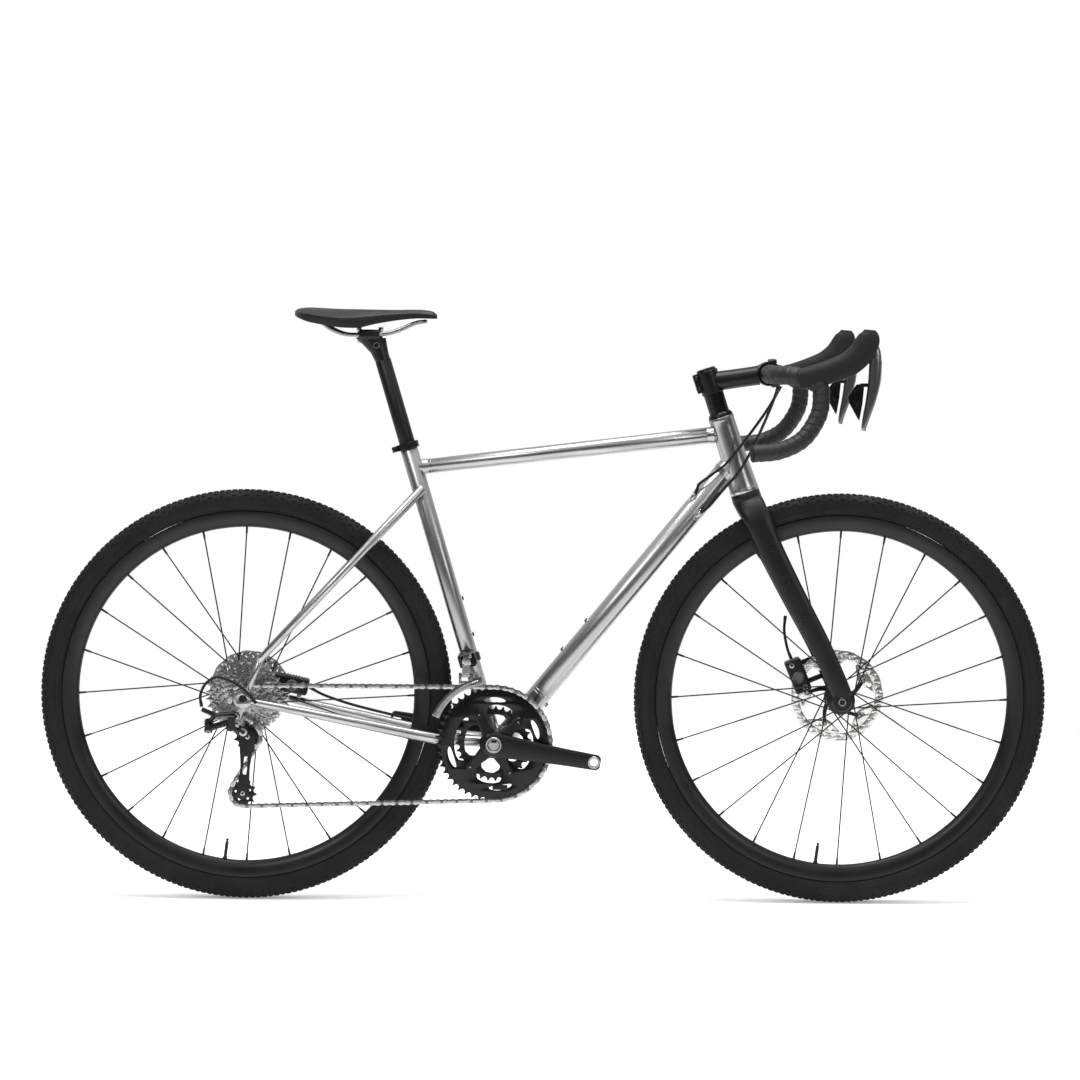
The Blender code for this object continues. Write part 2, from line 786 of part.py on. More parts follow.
def caliper_posts(caliper, y, reach):
    """Two square posts from a caliper's flat side; a negative reach puts them on its upper side."""
    centre, angle = caliper
    along = Vector((math.cos(angle), 0, math.sin(angle)))
    away = Vector((math.sin(angle), 0, -math.cos(angle))) * math.copysign(1, reach)
    posts = []
    for shift in (-CALIPER_POST_SPACING / 2, CALIPER_POST_SPACING / 2):
        middle = centre + along * shift + away * (CALIPER_HEIGHT / 2 + GAP + abs(reach) / 2)
        middle.y = y
        posts.append(block(middle, (CALIPER_POST, CALIPER_POST, abs(reach)), angle))
    return posts


# Frame

def dropout_y():
    return REAR_SPACING / 2 + DROPOUT_THICKNESS / 2


def hanger_point():
    return REAR_AXLE + Vector((-HANGER_SETBACK, 0, -HANGER_DROP))


def chainstay(side):
    inner = Vector((-0.010, side * 0.021, 0.0))
    yoke = Vector((-YOKE_LENGTH * 0.58, side * YOKE_SPREAD * 0.84, 0.0035))
    elbow = Vector((-YOKE_LENGTH, side * YOKE_SPREAD, 0.007))
    tip = REAR_AXLE + Vector((0.014, side * (dropout_y() + 0.0020), -0.004))
    radii = [CHAINSTAY_RADIUS, CHAINSTAY_RADIUS * 0.95, CHAINSTAY_RADIUS, STAY_TIP_RADIUS]
    return pipe([inner, yoke, elbow, tip], radii)


def seatstay(side):
    top = seat_axis_point(SEAT_TUBE_LENGTH - SEATSTAY_DROP)
    start = top + Vector((0.004, side * SEATSTAY_TOP_SPREAD, 0.004))
    tip = REAR_AXLE + Vector((0.008, side * (dropout_y() + 0.0020), 0.012))
    bend = tip + Vector((STAY_BEND.x, -side * STAY_BEND.y, STAY_BEND.z))
    return pipe([start, bend, tip], [SEATSTAY_RADIUS, STAY_TIP_RADIUS, STAY_TIP_RADIUS])


def boss(place, out, height=BOSS_HEIGHT):
    return rod(place - out * 0.004, place + out * height, BOSS_RADIUS, sides=6)


def down_tube_ends():
    head_end = HEAD_TOP - HEAD_UP * DOWN_TUBE_HEAD_DISTANCE
    along = head_end.normalized()
    across = Vector((along.z, 0, -along.x))
    lean = math.asin(DOWN_TUBE_BB_OFFSET / head_end.length)
    along = (along * math.cos(lean) - across * math.sin(lean)).normalized()
    bb_end = across * DOWN_TUBE_BB_OFFSET
    return bb_end, head_end


def cable_port(port):
    """Where a hose enters the down tube's drive side, and the way back along the hose."""
    distance, over = port
    bb_end, head_end = down_tube_ends()
    up = (head_end - bb_end).normalized()
    out = Vector((-up.z, 0, up.x)) * over + SIDEWAYS * RIGHT * math.sqrt(DOWN_TUBE_RADIUS**2 - over**2)
    return bb_end + up * distance + out, (up * 3 + out.normalized()).normalized()


def make_frame():
    bb_end, head_end = down_tube_ends()
    top_start = seat_axis_point(SEAT_TUBE_LENGTH - TOP_TUBE_DROP)
    top_end = HEAD_TOP - HEAD_UP * TOP_TUBE_HEAD_DISTANCE
    frame = rod(HEAD_TOP, HEAD_BOTTOM, HEAD_TUBE_TOP_RADIUS, HEAD_TUBE_BOTTOM_RADIUS)
    down_tube = rod(bb_end, head_end, DOWN_TUBE_RADIUS, sides=14)
    top_tube = rod(top_start, top_end, TOP_TUBE_SEAT_RADIUS, TOP_TUBE_HEAD_RADIUS, sides=12)
    seat_tube = rod(Vector((0, 0, 0)), SEAT_TOP, SEAT_TUBE_RADIUS, sides=12)
    shell = cross_rod(Vector((0, 0, 0)), BB_SHELL_RADIUS, BB_SHELL_WIDTH)
    fuse(frame, down_tube, top_tube, seat_tube, shell)

    bridge = seat_axis_point(SEAT_TUBE_LENGTH - SEATSTAY_DROP).lerp(REAR_AXLE, STAY_BRIDGE_SHARE)
    extras = [cross_rod(bridge, 0.006, 2 * SEATSTAY_TOP_SPREAD + 0.012, sides=8)]
    for side in (RIGHT, LEFT):
        extras += [chainstay(side), seatstay(side)]
        middle = Vector((REAR_AXLE.x, side * dropout_y(), REAR_AXLE.z))
        extras.append(cross_rod(middle, DROPOUT_RADIUS, DROPOUT_THICKNESS, sides=12))
    hanger = hanger_point() + SIDEWAYS * RIGHT * dropout_y()
    extras.append(cross_rod(hanger, 0.0085, DROPOUT_THICKNESS, sides=10))
    web_centre = (hanger + REAR_AXLE + SIDEWAYS * RIGHT * dropout_y()) / 2
    lean = math.atan2(HANGER_DROP, HANGER_SETBACK)
    extras.append(block(web_centre, (0.024, DROPOUT_THICKNESS - 2 * GAP, 0.015), lean))
    fuse(frame, *extras)

    down_up = (head_end - bb_end).normalized()
    down_out = Vector((-down_up.z, 0, down_up.x))
    seat_out = Vector((SEAT_UP.z, 0, -SEAT_UP.x))
    bosses = []
    for distance in (DOWN_TUBE_BOSS_DISTANCE, DOWN_TUBE_BOSS_DISTANCE + BOTTLE_BOSS_SPACING):
        bosses.append(boss(bb_end + down_up * distance + down_out * DOWN_TUBE_RADIUS, down_out))
    bosses.append(boss(bb_end + down_up * LOWER_BOSS_DISTANCE - down_out * DOWN_TUBE_RADIUS, -down_out))
    for distance in (SEAT_TUBE_BOSS_DISTANCE, SEAT_TUBE_BOSS_DISTANCE + BOTTLE_BOSS_SPACING):
        bosses.append(boss(seat_axis_point(distance) + seat_out * SEAT_TUBE_RADIUS, seat_out))
    fuse(frame, together(bosses))

    ports = []
    for port in CABLE_PORTS:
        place, back = cable_port(port)
        ports.append(rod(place - back * CABLE_PORT_LENGTH, place + back * CABLE_PORT_LENGTH, 0.0042, sides=8))
    fuse(frame, together(ports), together(caliper_posts(REAR_CALIPER, CHAINSTAY_POST_Y, REAR_CALIPER_REACH)))

    pocket = HEAD_UP * HEADSET_POCKET
    over = HEAD_UP * 0.01
    seat_bore_end = SEAT_TOP - SEAT_UP * (SEATPOST_INSERT + SEATPOST_TRAVEL)
    bores = [
        rod(HEAD_TOP + over, HEAD_BOTTOM - over, BEARING_RADIUS - 0.0033, sides=12),
        rod(HEAD_TOP + over, HEAD_TOP - pocket, BEARING_RADIUS + GAP, sides=12),
        rod(HEAD_BOTTOM - over, HEAD_BOTTOM + pocket, BEARING_RADIUS + GAP, sides=12),
        cross_rod(Vector((0, 0, 0)), BB_SHELL_RADIUS - BB_WALL, BB_SHELL_WIDTH + 0.02, sides=12),
        rod(seat_bore_end, SEAT_TOP + SEAT_UP * 0.02, SEATPOST_RADIUS + GAP, sides=12),
        cross_rod(REAR_AXLE, AXLE_RADIUS + GAP, REAR_SPACING + 0.04, sides=8),
    ]
    cut(frame, *bores)
    return finish(frame, "frame", STEEL)


def headset_bearing(name, start, up):
    ring = rod(start + up * GAP, start + up * (HEADSET_POCKET - 2 * GAP), BEARING_RADIUS, sides=12)
    bore = rod(start - up * 0.002, start + up * 0.012, turning_bore(STEERER_RADIUS, 12), sides=12)
    return finish(cut(ring, bore), name, SILVER)


def make_seat_clamp():
    bottom = SEAT_TOP - SEAT_UP * 0.009
    top = SEAT_TOP + SEAT_UP * 0.002
    collar = rod(bottom, top, SEAT_TUBE_RADIUS + 0.004, sides=12)
    back = Vector((-SEAT_UP.z, 0, SEAT_UP.x))
    ear = bottom.lerp(top, 0.5) + back * (SEAT_TUBE_RADIUS + 0.007)
    lean = math.pi / 2 - SEAT_ANGLE
    fuse(collar, block(ear, (0.012, 0.014, 0.0096), lean))
    fuse(collar, cross_rod(ear + back * 0.001, 0.0036, 0.020, sides=8))
    inner = rod(bottom - SEAT_UP * 0.01, SEAT_TOP + SEAT_UP * GAP, SEAT_TUBE_RADIUS + GAP, sides=12)
    lip = rod(SEAT_TOP - SEAT_UP * 0.001, top + SEAT_UP * 0.01, SEATPOST_RADIUS + GAP, sides=12)
    slot = block(ear, (0.020, 0.0016, 0.02), lean)
    cut(collar, inner, lip, slot)
    return finish(collar, "seat_clamp", DARK_ALLOY)


# Wheels

def make_tyre(name, axle, pivot):
    half = TYRE_WIDTH / 2
    bead = RIM_OUTER_RADIUS + GAP
    crown = TYRE_RADIUS
    section = crown - bead
    profile = [
        (bead, half * 0.52),
        (bead + section * 0.46, half),
        (crown, half * 0.40),
    ]
    profile += [(radius, -y) for radius, y in reversed(profile)]
    return finish(turned(profile, axle), name, RUBBER, pivot, sharp=60)


def make_rim(name, axle, pivot):
    half = RIM_WIDTH / 2
    depth = RIM_OUTER_RADIUS - RIM_INNER_RADIUS
    sides = [(RIM_INNER_RADIUS + depth * 0.42, half * 0.86), (RIM_OUTER_RADIUS, half)]
    profile = [(RIM_INNER_RADIUS, 0.0), *sides, *[(radius, -y) for radius, y in reversed(sides)]]
    return finish(turned(profile, axle), name, DARK_ALLOY, pivot)


def spokes(axle, right_flange, left_flange):
    """Straight spokes, each leaving its flange nearly square to the radius."""
    lead = math.radians(74)
    rods = []
    for i in range(SPOKE_COUNT):
        side = -1 if i % 2 else 1
        flange = left_flange if side > 0 else right_flange
        leading = 1 if (i // 2) % 2 else -1
        rim_angle = 2 * math.pi * i / SPOKE_COUNT
        hub_angle = rim_angle + leading * lead
        hub_y = flange + side * leading * 0.0018
        start = axle + Vector((
            SPOKE_HUB_RADIUS * math.cos(hub_angle), hub_y, SPOKE_HUB_RADIUS * math.sin(hub_angle)
        ))
        reach = RIM_INNER_RADIUS * math.cos(math.pi / WHEEL_SEGMENTS) - GAP * 2
        end = axle + Vector((reach * math.cos(rim_angle), side * 0.001, reach * math.sin(rim_angle)))
        rods.append(rod(start, end, SPOKE_RADIUS, sides=4))
    return together(rods)


def make_hub(name, axle, pivot, ends, flanges, rotor_y, barrel):
    """A flanged hub with its spokes and the seat that carries the brake disc."""
    right_end, left_end = ends
    right_flange, left_flange = flanges
    bore = turning_bore(AXLE_RADIUS, HUB_STEPS)
    flange = HUB_FLANGE_RADIUS
    profile = [
        (bore, right_end),
        (0.0100, right_end),
        (0.0110, right_flange - 0.007),
        (flange, right_flange - 0.0035),
        (flange, right_flange + 0.0035),
        (barrel, right_flange + 0.010),
        (barrel, left_flange - 0.010),
        (flange, left_flange - 0.0035),
        (flange, left_flange + 0.0035),
        (ROTOR_SEAT_RADIUS, left_flange + 0.006),
        (ROTOR_SEAT_RADIUS, rotor_y + 0.004),
        (0.0100, left_end),
        (bore, left_end),
    ]
    hub = turned(profile, axle, HUB_STEPS)
    fuse(hub, spokes(axle, right_flange, left_flange))
    return finish(hub, name, DARK_ALLOY, pivot)


def make_rotor(name, axle, y, radius, pivot):
    """A brake disc: a ring on five swept arms round a splined centre."""
    centre = (axle.x, axle.z)
    inner = radius - 0.015
    bore = turning_bore(ROTOR_SEAT_RADIUS, ROTOR_BORE_SIDES)
    outlines = [ring_of(24, radius, centre), ring_of(ROTOR_BORE_SIDES, bore, centre)]
    arms = 5
    for i in range(arms):
        start = 2 * math.pi * i / arms
        sweep = math.radians(22)
        span = 2 * math.pi / arms - math.radians(16)
        window = []
        for j in range(4):
            angle = start + sweep + span * j / 3
            window.append((centre[0] + inner * math.cos(angle), centre[1] + inner * math.sin(angle)))
        for j in range(1, -1, -1):
            angle = start + span * j
            window.append((centre[0] + 0.027 * math.cos(angle), centre[1] + 0.027 * math.sin(angle)))
        outlines.append(window)
    return finish(plate(outlines, y, ROTOR_THICKNESS), name, SILVER, pivot)


# Drivetrain

CASSETTE_END = SPROCKET_LINE + SPROCKET_PITCH * (len(CASSETTE_TEETH) - 1) + 0.004


def make_cassette(pivot):
    centre = (REAR_AXLE.x, REAR_AXLE.z)
    inner_end = REAR_AXLE + SIDEWAYS * CASSETTE_END
    carrier = rod(REAR_AXLE + SIDEWAYS * (SPROCKET_LINE - 0.0022), inner_end, CARRIER_RADIUS, sides=6)
    cap_end = -REAR_SPACING / 2 + GAP
    cap = rod(REAR_AXLE + SIDEWAYS * cap_end, REAR_AXLE + SIDEWAYS * SPROCKET_LINE, 0.0110, sides=8)
    sprockets = []
    for i, teeth in enumerate(CASSETTE_TEETH):
        y = SPROCKET_LINE + SPROCKET_PITCH * i
        if i == 0:
            outline = full_teeth(teeth, centre, wheel_phase(*centre))
            sprockets.append(plate([outline], y, TOOTH_THICKNESS))
        else:
            outline = plain_teeth(teeth, centre, wheel_phase(*centre))
            sprockets.append(plate([outline], y, SPROCKET_THICKNESS))
    fuse(carrier, together(sprockets), cap)
    cut(carrier, cross_rod(REAR_AXLE, turning_bore(AXLE_RADIUS, 8), 0.2, sides=8))
    return finish(carrier, "cassette", SILVER, pivot)


def crank_direction(side):
    turn = CRANK_ANGLE if side == RIGHT else CRANK_ANGLE + math.pi
    return Vector((math.cos(turn), 0, math.sin(turn)))


def crank_arm(side):
    along = crank_direction(side)
    across = Vector((-along.z, 0, along.x))
    sections = [
        (-0.020, 0.0110, 0.0560, 0.0640),
        (-0.012, 0.0190, 0.0550, 0.0680),
        (0.012, 0.0205, 0.0550, 0.0690),
        (0.060, 0.0175, 0.0570, 0.0715),
        (0.120, 0.0145, 0.0600, 0.0740),
        (CRANK_LENGTH, 0.0132, PEDAL_FACE - 0.0120, PEDAL_FACE),
        (CRANK_LENGTH + 0.011, 0.0085, PEDAL_FACE - 0.0115, PEDAL_FACE - 0.0005),
    ]
    rings = []
    for distance, half, inner, outer in sections:
        centre = along * distance + SIDEWAYS * side * (inner + outer) / 2
        rings.append(oval(centre, across * half, SIDEWAYS * (outer - inner) / 2, 8, 0.55))
    arm = skin(rings)
    eye = along * CRANK_LENGTH + SIDEWAYS * side * PEDAL_FACE
    pad = SIDEWAYS * side * PEDAL_BOSS_HEIGHT
    fuse(arm, rod(eye - pad * 5, eye + pad, PEDAL_BOSS_RADIUS, sides=12))
    cut(arm, cross_rod(eye, PEDAL_BORE_RADIUS, 0.06, sides=12))
    return arm


def spider_arm(angle):
    turn = CRANK_ANGLE + angle
    along = Vector((math.cos(turn), 0, math.sin(turn)))
    across = Vector((-along.z, 0, along.x))
    rings = []
    face = RING_LINE - TOOTH_THICKNESS / 2 - GAP
    for distance, half, depth in (
        (0.004, 0.0125, 0.0042),
        (0.036, 0.0088, 0.0034),
        (BOLT_CIRCLE_RADIUS + 0.007, 0.0075, 0.0024),
    ):
        centre = along * distance + SIDEWAYS * (face - depth)
        rings.append(oval(centre, across * half, SIDEWAYS * depth, 6, 0.7))
    arm = skin(rings)
    post = along * INNER_BOLT_CIRCLE_RADIUS
    inner_face = SMALL_RING_LINE - TOOTH_THICKNESS / 2 - GAP
    fuse(arm, rod(post + SIDEWAYS * (face - 0.003), post + SIDEWAYS * inner_face, 0.0055, sides=6))
    return arm


def make_crank_right(pivot):
    arm = crank_arm(RIGHT)
    hub = rod(Vector((0, -0.0490, 0)), Vector((0, -0.0640, 0)), 0.0195, sides=12)
    spindle = rod(Vector((0, -0.0600, 0)), Vector((0, 0.0600, 0)), SPINDLE_RADIUS, sides=12)
    fuse(arm, hub, spindle, *[spider_arm(angle) for angle in SPIDER_ANGLES])
    cut(arm, rod(Vector((0, -0.08, 0)), Vector((0, -0.060, 0)), 0.0095, sides=8))
    return finish(arm, "crank_arm_right", DARK_ALLOY, pivot)


def make_crank_left(pivot):
    arm = crank_arm(LEFT)
    fuse(arm, rod(Vector((0, 0.0450, 0)), Vector((0, 0.0620, 0)), 0.0180, sides=16))
    cut(arm, rod(Vector((0, 0.03, 0)), Vector((0, 0.0606, 0)), SPINDLE_RADIUS + GAP, sides=12))
    return finish(arm, "crank_arm_left", DARK_ALLOY, pivot)


def make_chainring(name, line, inner, bolt_radius, outline, pivot):
    """A toothed ring with a tab for each arm of the spider."""
    ring = plate([outline, ring_of(14, inner)], line, TOOTH_THICKNESS)
    tabs = []
    for angle in SPIDER_ANGLES:
        turn = CRANK_ANGLE + angle
        out = Vector((math.cos(turn), 0, math.sin(turn)))
        start, end = bolt_radius - 0.007, inner + 0.006
        middle = out * (start + end) / 2 + SIDEWAYS * line
        tabs.append(block(middle, (end - start, TOOTH_THICKNESS * 0.96, 0.015), turn))
    fuse(ring, together(tabs))
    return finish(ring, name, DARK_ALLOY, pivot)


def pin_frames():
    """Each pin's place with its own directions along, up and across the chain."""
    places = [place for place, _ in PINS]
    frames = []
    for i, place in enumerate(places):
        along = (places[(i + 1) % len(places)] - places[i - 1]).normalized()
        upright = along.cross(SIDEWAYS).normalized()
        frames.append((place, along, upright, upright.cross(along).normalized()))
    return frames


def make_chain():
    """Square hubs at the pins, joined by pairs of plates that are wide and narrow in turn."""
    bm = bmesh.new()
    hubs = []
    for i, (place, along, upright, across) in enumerate(pin_frames()):
        ends = []
        for end in (-1, 1):
            inner, outer = OUTER_PLATE if (i + (end > 0)) % 2 else INNER_PLATE
            start = place + along * end * ROLLER_HALF_LENGTH
            ends.append([
                [bm.verts.new(start + across * y + upright * z) for y in (-outer, -inner, inner, outer)]
                for z in (PLATE_HALF_HEIGHT, -PLATE_HALF_HEIGHT)
            ])
        hubs.append(ends)
        (rear_top, rear_bottom), (front_top, front_bottom) = ends
        bm.faces.new((*rear_top, *reversed(front_top)))
        bm.faces.new((*rear_bottom, *reversed(front_bottom)))
        for y in (0, 3):
            bm.faces.new((rear_top[y], front_top[y], front_bottom[y], rear_bottom[y]))
        for top, bottom in ends:
            bm.faces.new((top[1], top[2], bottom[2], bottom[1]))
    for hub, following in zip(hubs, hubs[1:] + hubs[:1]):
        near, far = hub[1], following[0]
        for a, b in ((0, 1), (2, 3)):
            loop = ((0, a), (0, b), (1, b), (1, a))
            for (level, y), (next_level, next_y) in zip(loop, loop[1:] + loop[:1]):
                bm.faces.new((
                    near[level][y], near[next_level][next_y], far[next_level][next_y], far[level][y],
                ))
    bmesh.ops.triangulate(bm, faces=bm.faces[:])
    return finish(mesh_object(bm), "chain", SILVER)


# Fork

def blade_centres(side):
    return [
        fork_point(down * FORK_LENGTH, rake * FORK_RAKE, side * spread)
        for down, rake, spread, _, _ in BLADE_SECTIONS
    ]


def fork_blade(side):
    centres = blade_centres(side)
    rings = []
    for i, (_, _, _, chord, thickness) in enumerate(BLADE_SECTIONS):
        before, after = centres[max(i - 1, 0)], centres[min(i + 1, len(centres) - 1)]
        along = (after - before).normalized()
        thin = HEAD_FORWARD.cross(along).normalized()
        rings.append(oval(centres[i], HEAD_FORWARD * chord, thin * thickness, 8, 0.85))
    return skin(rings)


def fork_dropout_y():
    return FRONT_SPACING / 2 + DROPOUT_THICKNESS / 2


def make_fork(pivot):
    top = head_axis_point(STEM_STACK + STEM_CLAMP_HEIGHT - 0.002)
    fork = rod(fork_point(0.010, 0), top, STEERER_RADIUS, sides=12)
    crown = rod(CROWN_SEAT + HEAD_UP * (0.003 - GAP), fork_point(0.020, 0), CROWN_RADIUS, sides=12)
    fuse(fork, crown, fork_blade(RIGHT), fork_blade(LEFT))
    ends = []
    for side in (RIGHT, LEFT):
        eye = FRONT_AXLE + SIDEWAYS * side * fork_dropout_y()
        ends.append(cross_rod(eye, FORK_EYE_RADIUS, DROPOUT_THICKNESS, sides=12))
        for share in CARGO_BOSS_SHARES:
            place = fork_point(share * FORK_LENGTH, share * FORK_RAKE * 1.02, 0)
            outer = side * (0.0380 + 0.0160 * share + 0.0090)
            place = Vector((place.x, outer, place.z))
            ends.append(cross_rod(place, 0.0048, 0.0060, sides=6))
    ends += caliper_posts(FRONT_CALIPER, BLADE_POST_Y, -FRONT_CALIPER_REACH)
    fuse(fork, *ends)
    cut(fork, cross_rod(FRONT_AXLE, AXLE_RADIUS + GAP, FRONT_SPACING + 0.04, sides=8))
    return finish(fork, "fork", CARBON, pivot)


def make_thru_axle(name, axle, spacing, head_side, pivot=None):
    reach = spacing / 2 + DROPOUT_THICKNESS
    shaft = rod(
        axle - SIDEWAYS * head_side * (reach + 0.001),
        axle + SIDEWAYS * head_side * (reach + GAP + 0.0035),
        AXLE_RADIUS,
        sides=8,
    )
    head = axle + SIDEWAYS * head_side * (reach + GAP + 0.00175)
    fuse(shaft, cross_rod(head, 0.0090, 0.0035, sides=8))
    return finish(shaft, name, DARK_ALLOY, pivot)


# Cockpit

STEM_ALONG = Vector((math.cos(STEM_ANGLE), 0, math.sin(STEM_ANGLE)))
STEERER_CLAMP = head_axis_point(STEM_STACK + STEM_CLAMP_HEIGHT / 2)
BAR_CENTRE = STEERER_CLAMP + STEM_ALONG * STEM_LENGTH
BAR_CLAMP_OUTER = BAR_CLAMP_RADIUS + BAR_CLAMP_WALL


def make_headset_cover(pivot):
    cover = rod(head_axis_point(GAP), head_axis_point(HEADSET_COVER_HEIGHT), 0.0212, 0.0180, sides=12)
    bore = rod(head_axis_point(-0.01), head_axis_point(0.02), STEERER_RADIUS + GAP, sides=12)
    return finish(cut(cover, bore), "headset_cover", DARK_ALLOY, pivot)


def make_spacer(pivot):
    bottom, top = HEADSET_COVER_HEIGHT + GAP, STEM_STACK - GAP
    spacer = rod(head_axis_point(bottom), head_axis_point(top), SPACER_RADIUS, sides=12)
    bore = rod(head_axis_point(bottom - 0.01), head_axis_point(top + 0.01), STEERER_RADIUS + GAP, sides=12)
    return finish(cut(spacer, bore), "steerer_spacer", DARK_ALLOY, pivot)


def bar_clamp(radius):
    return cross_rod(BAR_CENTRE, radius, BAR_CLAMP_WIDTH)


def make_stem(pivot):
    bottom = head_axis_point(STEM_STACK)
    top = head_axis_point(STEM_STACK + STEM_CLAMP_HEIGHT)
    stem = rod(bottom, top, STEM_CLAMP_RADIUS, sides=12)
    front = BAR_CENTRE - STEM_ALONG * 0.008
    tube = rod(STEERER_CLAMP + STEM_ALONG * 0.008, front, STEM_RADIUS, STEM_RADIUS * 0.95, 12)
    back = STEERER_CLAMP - STEM_ALONG * 0.0185
    ears = block(back, (0.014, 0.022, STEM_CLAMP_HEIGHT * 0.80), math.pi / 2 - HEAD_ANGLE)
    fuse(stem, tube, ears, bar_clamp(BAR_CLAMP_OUTER))
    front = BAR_CENTRE + STEM_ALONG * 0.030
    cut(
        stem,
        block(front, (0.060, 0.08, 0.08), STEM_ANGLE),
        cross_rod(BAR_CENTRE, BAR_CLAMP_RADIUS + GAP, 0.08),
        rod(bottom - HEAD_UP * 0.01, top + HEAD_UP * 0.01, STEERER_RADIUS + GAP, sides=12),
        block(back - STEM_ALONG * 0.006, (0.022, 0.002, 0.07), math.pi / 2 - HEAD_ANGLE),
    )
    return finish(stem, "stem", DARK_ALLOY, pivot)


def make_faceplate(pivot):
    faceplate = bar_clamp(BAR_CLAMP_OUTER)
    behind = BAR_CENTRE - STEM_ALONG * (0.030 - FACEPLATE_SLOT)
    cut(
        faceplate,
        block(behind, (0.060, 0.08, 0.08), STEM_ANGLE),
        cross_rod(BAR_CENTRE, BAR_CLAMP_RADIUS + GAP, 0.08),
        block(BAR_CENTRE + STEM_ALONG * 0.02, (0.03, 0.014, 0.020), STEM_ANGLE),
    )
    return finish(faceplate, "stem_faceplate", DARK_ALLOY, pivot)


def make_top_cap(pivot):
    bottom = STEM_STACK + STEM_CLAMP_HEIGHT + GAP
    cap = rod(head_axis_point(bottom), head_axis_point(bottom + 0.004), 0.0165, 0.0150, sides=12)
    return finish(cap, "stem_top_cap", DARK_ALLOY, pivot)


def bar_points(side):
    """The bar's middle line from the stem to the end of one drop."""
    flat = [0.0, BAR_CLAMP_WIDTH / 2 + 0.018, BAR_CLAMP_WIDTH / 2 + 0.031, TAPE_START + 0.002]
    flat.append(BAR_HOOD_HALF_WIDTH - 0.055)
    points = [BAR_CENTRE + SIDEWAYS * side * away for away in flat]
    for reach, drop, share in BAR_ROWS:
        away = BAR_HOOD_HALF_WIDTH + (BAR_END_HALF_WIDTH - BAR_HOOD_HALF_WIDTH) * share
        place = BAR_CENTRE + Vector((reach * BAR_REACH, side * away, -drop * BAR_DROP))
        points.append(place)
    return points


def bar_path(side):
    return smooth_path(bar_points(side), 0.048)


def bar_line():
    """The whole bar's middle line from the left end to the right."""
    return [*reversed(bar_path(LEFT)), *bar_path(RIGHT)[1:]]


def make_handlebar(pivot):
    points = bar_line()
    wide = BAR_CLAMP_WIDTH / 2 + 0.020
    radii = [BAR_CLAMP_RADIUS if abs(point.y) < wide else BAR_RADIUS for point in points]
    return finish(pipe(points, radii), "handlebar", DARK_ALLOY, pivot)


def tape_path(side):
    points = [point for point in bar_path(side) if abs(point.y) > TAPE_START]
    last = points[-1] - points[-2]
    points[-1] = points[-1] - last.normalized() * 0.001
    return points


def make_tape(side, name, pivot):
    tape = pipe(tape_path(side), BAR_RADIUS + TAPE_THICKNESS)
    cut(tape, pipe(bar_line(), BAR_RADIUS + GAP))
    return finish(tape, name, TAPE, pivot, sharp=60)


def make_bar_plug(side, name, pivot):
    points = bar_path(side)
    along = (points[-1] - points[-2]).normalized()
    start = points[-1] + along * GAP
    plug = rod(start, start + along * 0.005, BAR_RADIUS + TAPE_THICKNESS, 0.0120, sides=12)
    return finish(plug, name, RUBBER, pivot)


def cockpit_loft(sections, y, sides=8, power=0.85):
    """A loft beside the bar, its rings square to a path in the XZ plane."""
    centres = [BAR_CENTRE + Vector((x, y, z)) for x, z, _, _ in sections]
    rings = []
    for i, (_, _, half_height, half_width) in enumerate(sections):
        before, after = centres[max(i - 1, 0)], centres[min(i + 1, len(centres) - 1)]
        along = (after - before).normalized()
        up = along.cross(SIDEWAYS).normalized()
        rings.append(oval(centres[i], up * half_height, SIDEWAYS * half_width, sides, power))
    return skin(rings)


def hood_y(side):
    return side * (BAR_HOOD_HALF_WIDTH + 0.001)


def make_hood(side, name, pivot):
    hood = cockpit_loft(HOOD_SECTIONS, hood_y(side), 8, 0.8)
    slot = BAR_CENTRE + Vector((0.155, hood_y(side), 0.036))
    cut(
        hood,
        pipe(tape_path(side), BAR_RADIUS + TAPE_THICKNESS + 2 * GAP),
        block(slot, (0.044, 2 * (LEVER_SECTIONS[0][3] + GAP), 0.054)),
    )
    return finish(hood, name, RUBBER, pivot, sharp=50)


def make_lever(side, name, pivot):
    """A lever blade with an ear behind it, over the top of the shift paddle."""
    lever = cockpit_loft(LEVER_SECTIONS, hood_y(side))
    x, z = PADDLE_SECTIONS[0][0], PADDLE_SECTIONS[0][1] + GAP
    reach = LEVER_SECTIONS[2][0] - x + PADDLE_PIN_HALF
    place = BAR_CENTRE + Vector((x - PADDLE_PIN_HALF + reach / 2, hood_y(side), z + PADDLE_EAR / 2))
    fuse(lever, block(place, (reach, 2 * PADDLE_PIN_HALF, PADDLE_EAR)))
    return finish(lever, name, GREY_ALLOY, pivot)


def make_paddle(side, name, pivot):
    return finish(cockpit_loft(PADDLE_SECTIONS, hood_y(side), 6), name, DARK_ALLOY, pivot)


# Brakes

def make_caliper(name, caliper, rotor_axle, rotor_y, rotor_radius, pivot=None):
    """A caliper body with a slot for the disc."""
    centre, angle = caliper
    body = rounded(block(centre, (CALIPER_LENGTH, CALIPER_WIDTH, CALIPER_HEIGHT), angle), 0.003)
    slot = Vector((rotor_axle.x, rotor_y, rotor_axle.z))
    cut(body, cross_rod(slot, rotor_radius + 0.004, 0.0050, sides=24))
    return finish(body, name, DARK_ALLOY, pivot)


def port_mouth(port):
    """The last points of a hose that comes straight into a port."""
    place, back = cable_port(port)
    return [place + back * (CABLE_PORT_LENGTH + away) for away in (0.012, 2 * GAP)]


def hose(name, points, radius, pivot=None):
    path = smooth_path(points, 0.030)
    return finish(pipe(path, radius, 1), name, RUBBER, pivot)


# Derailleurs

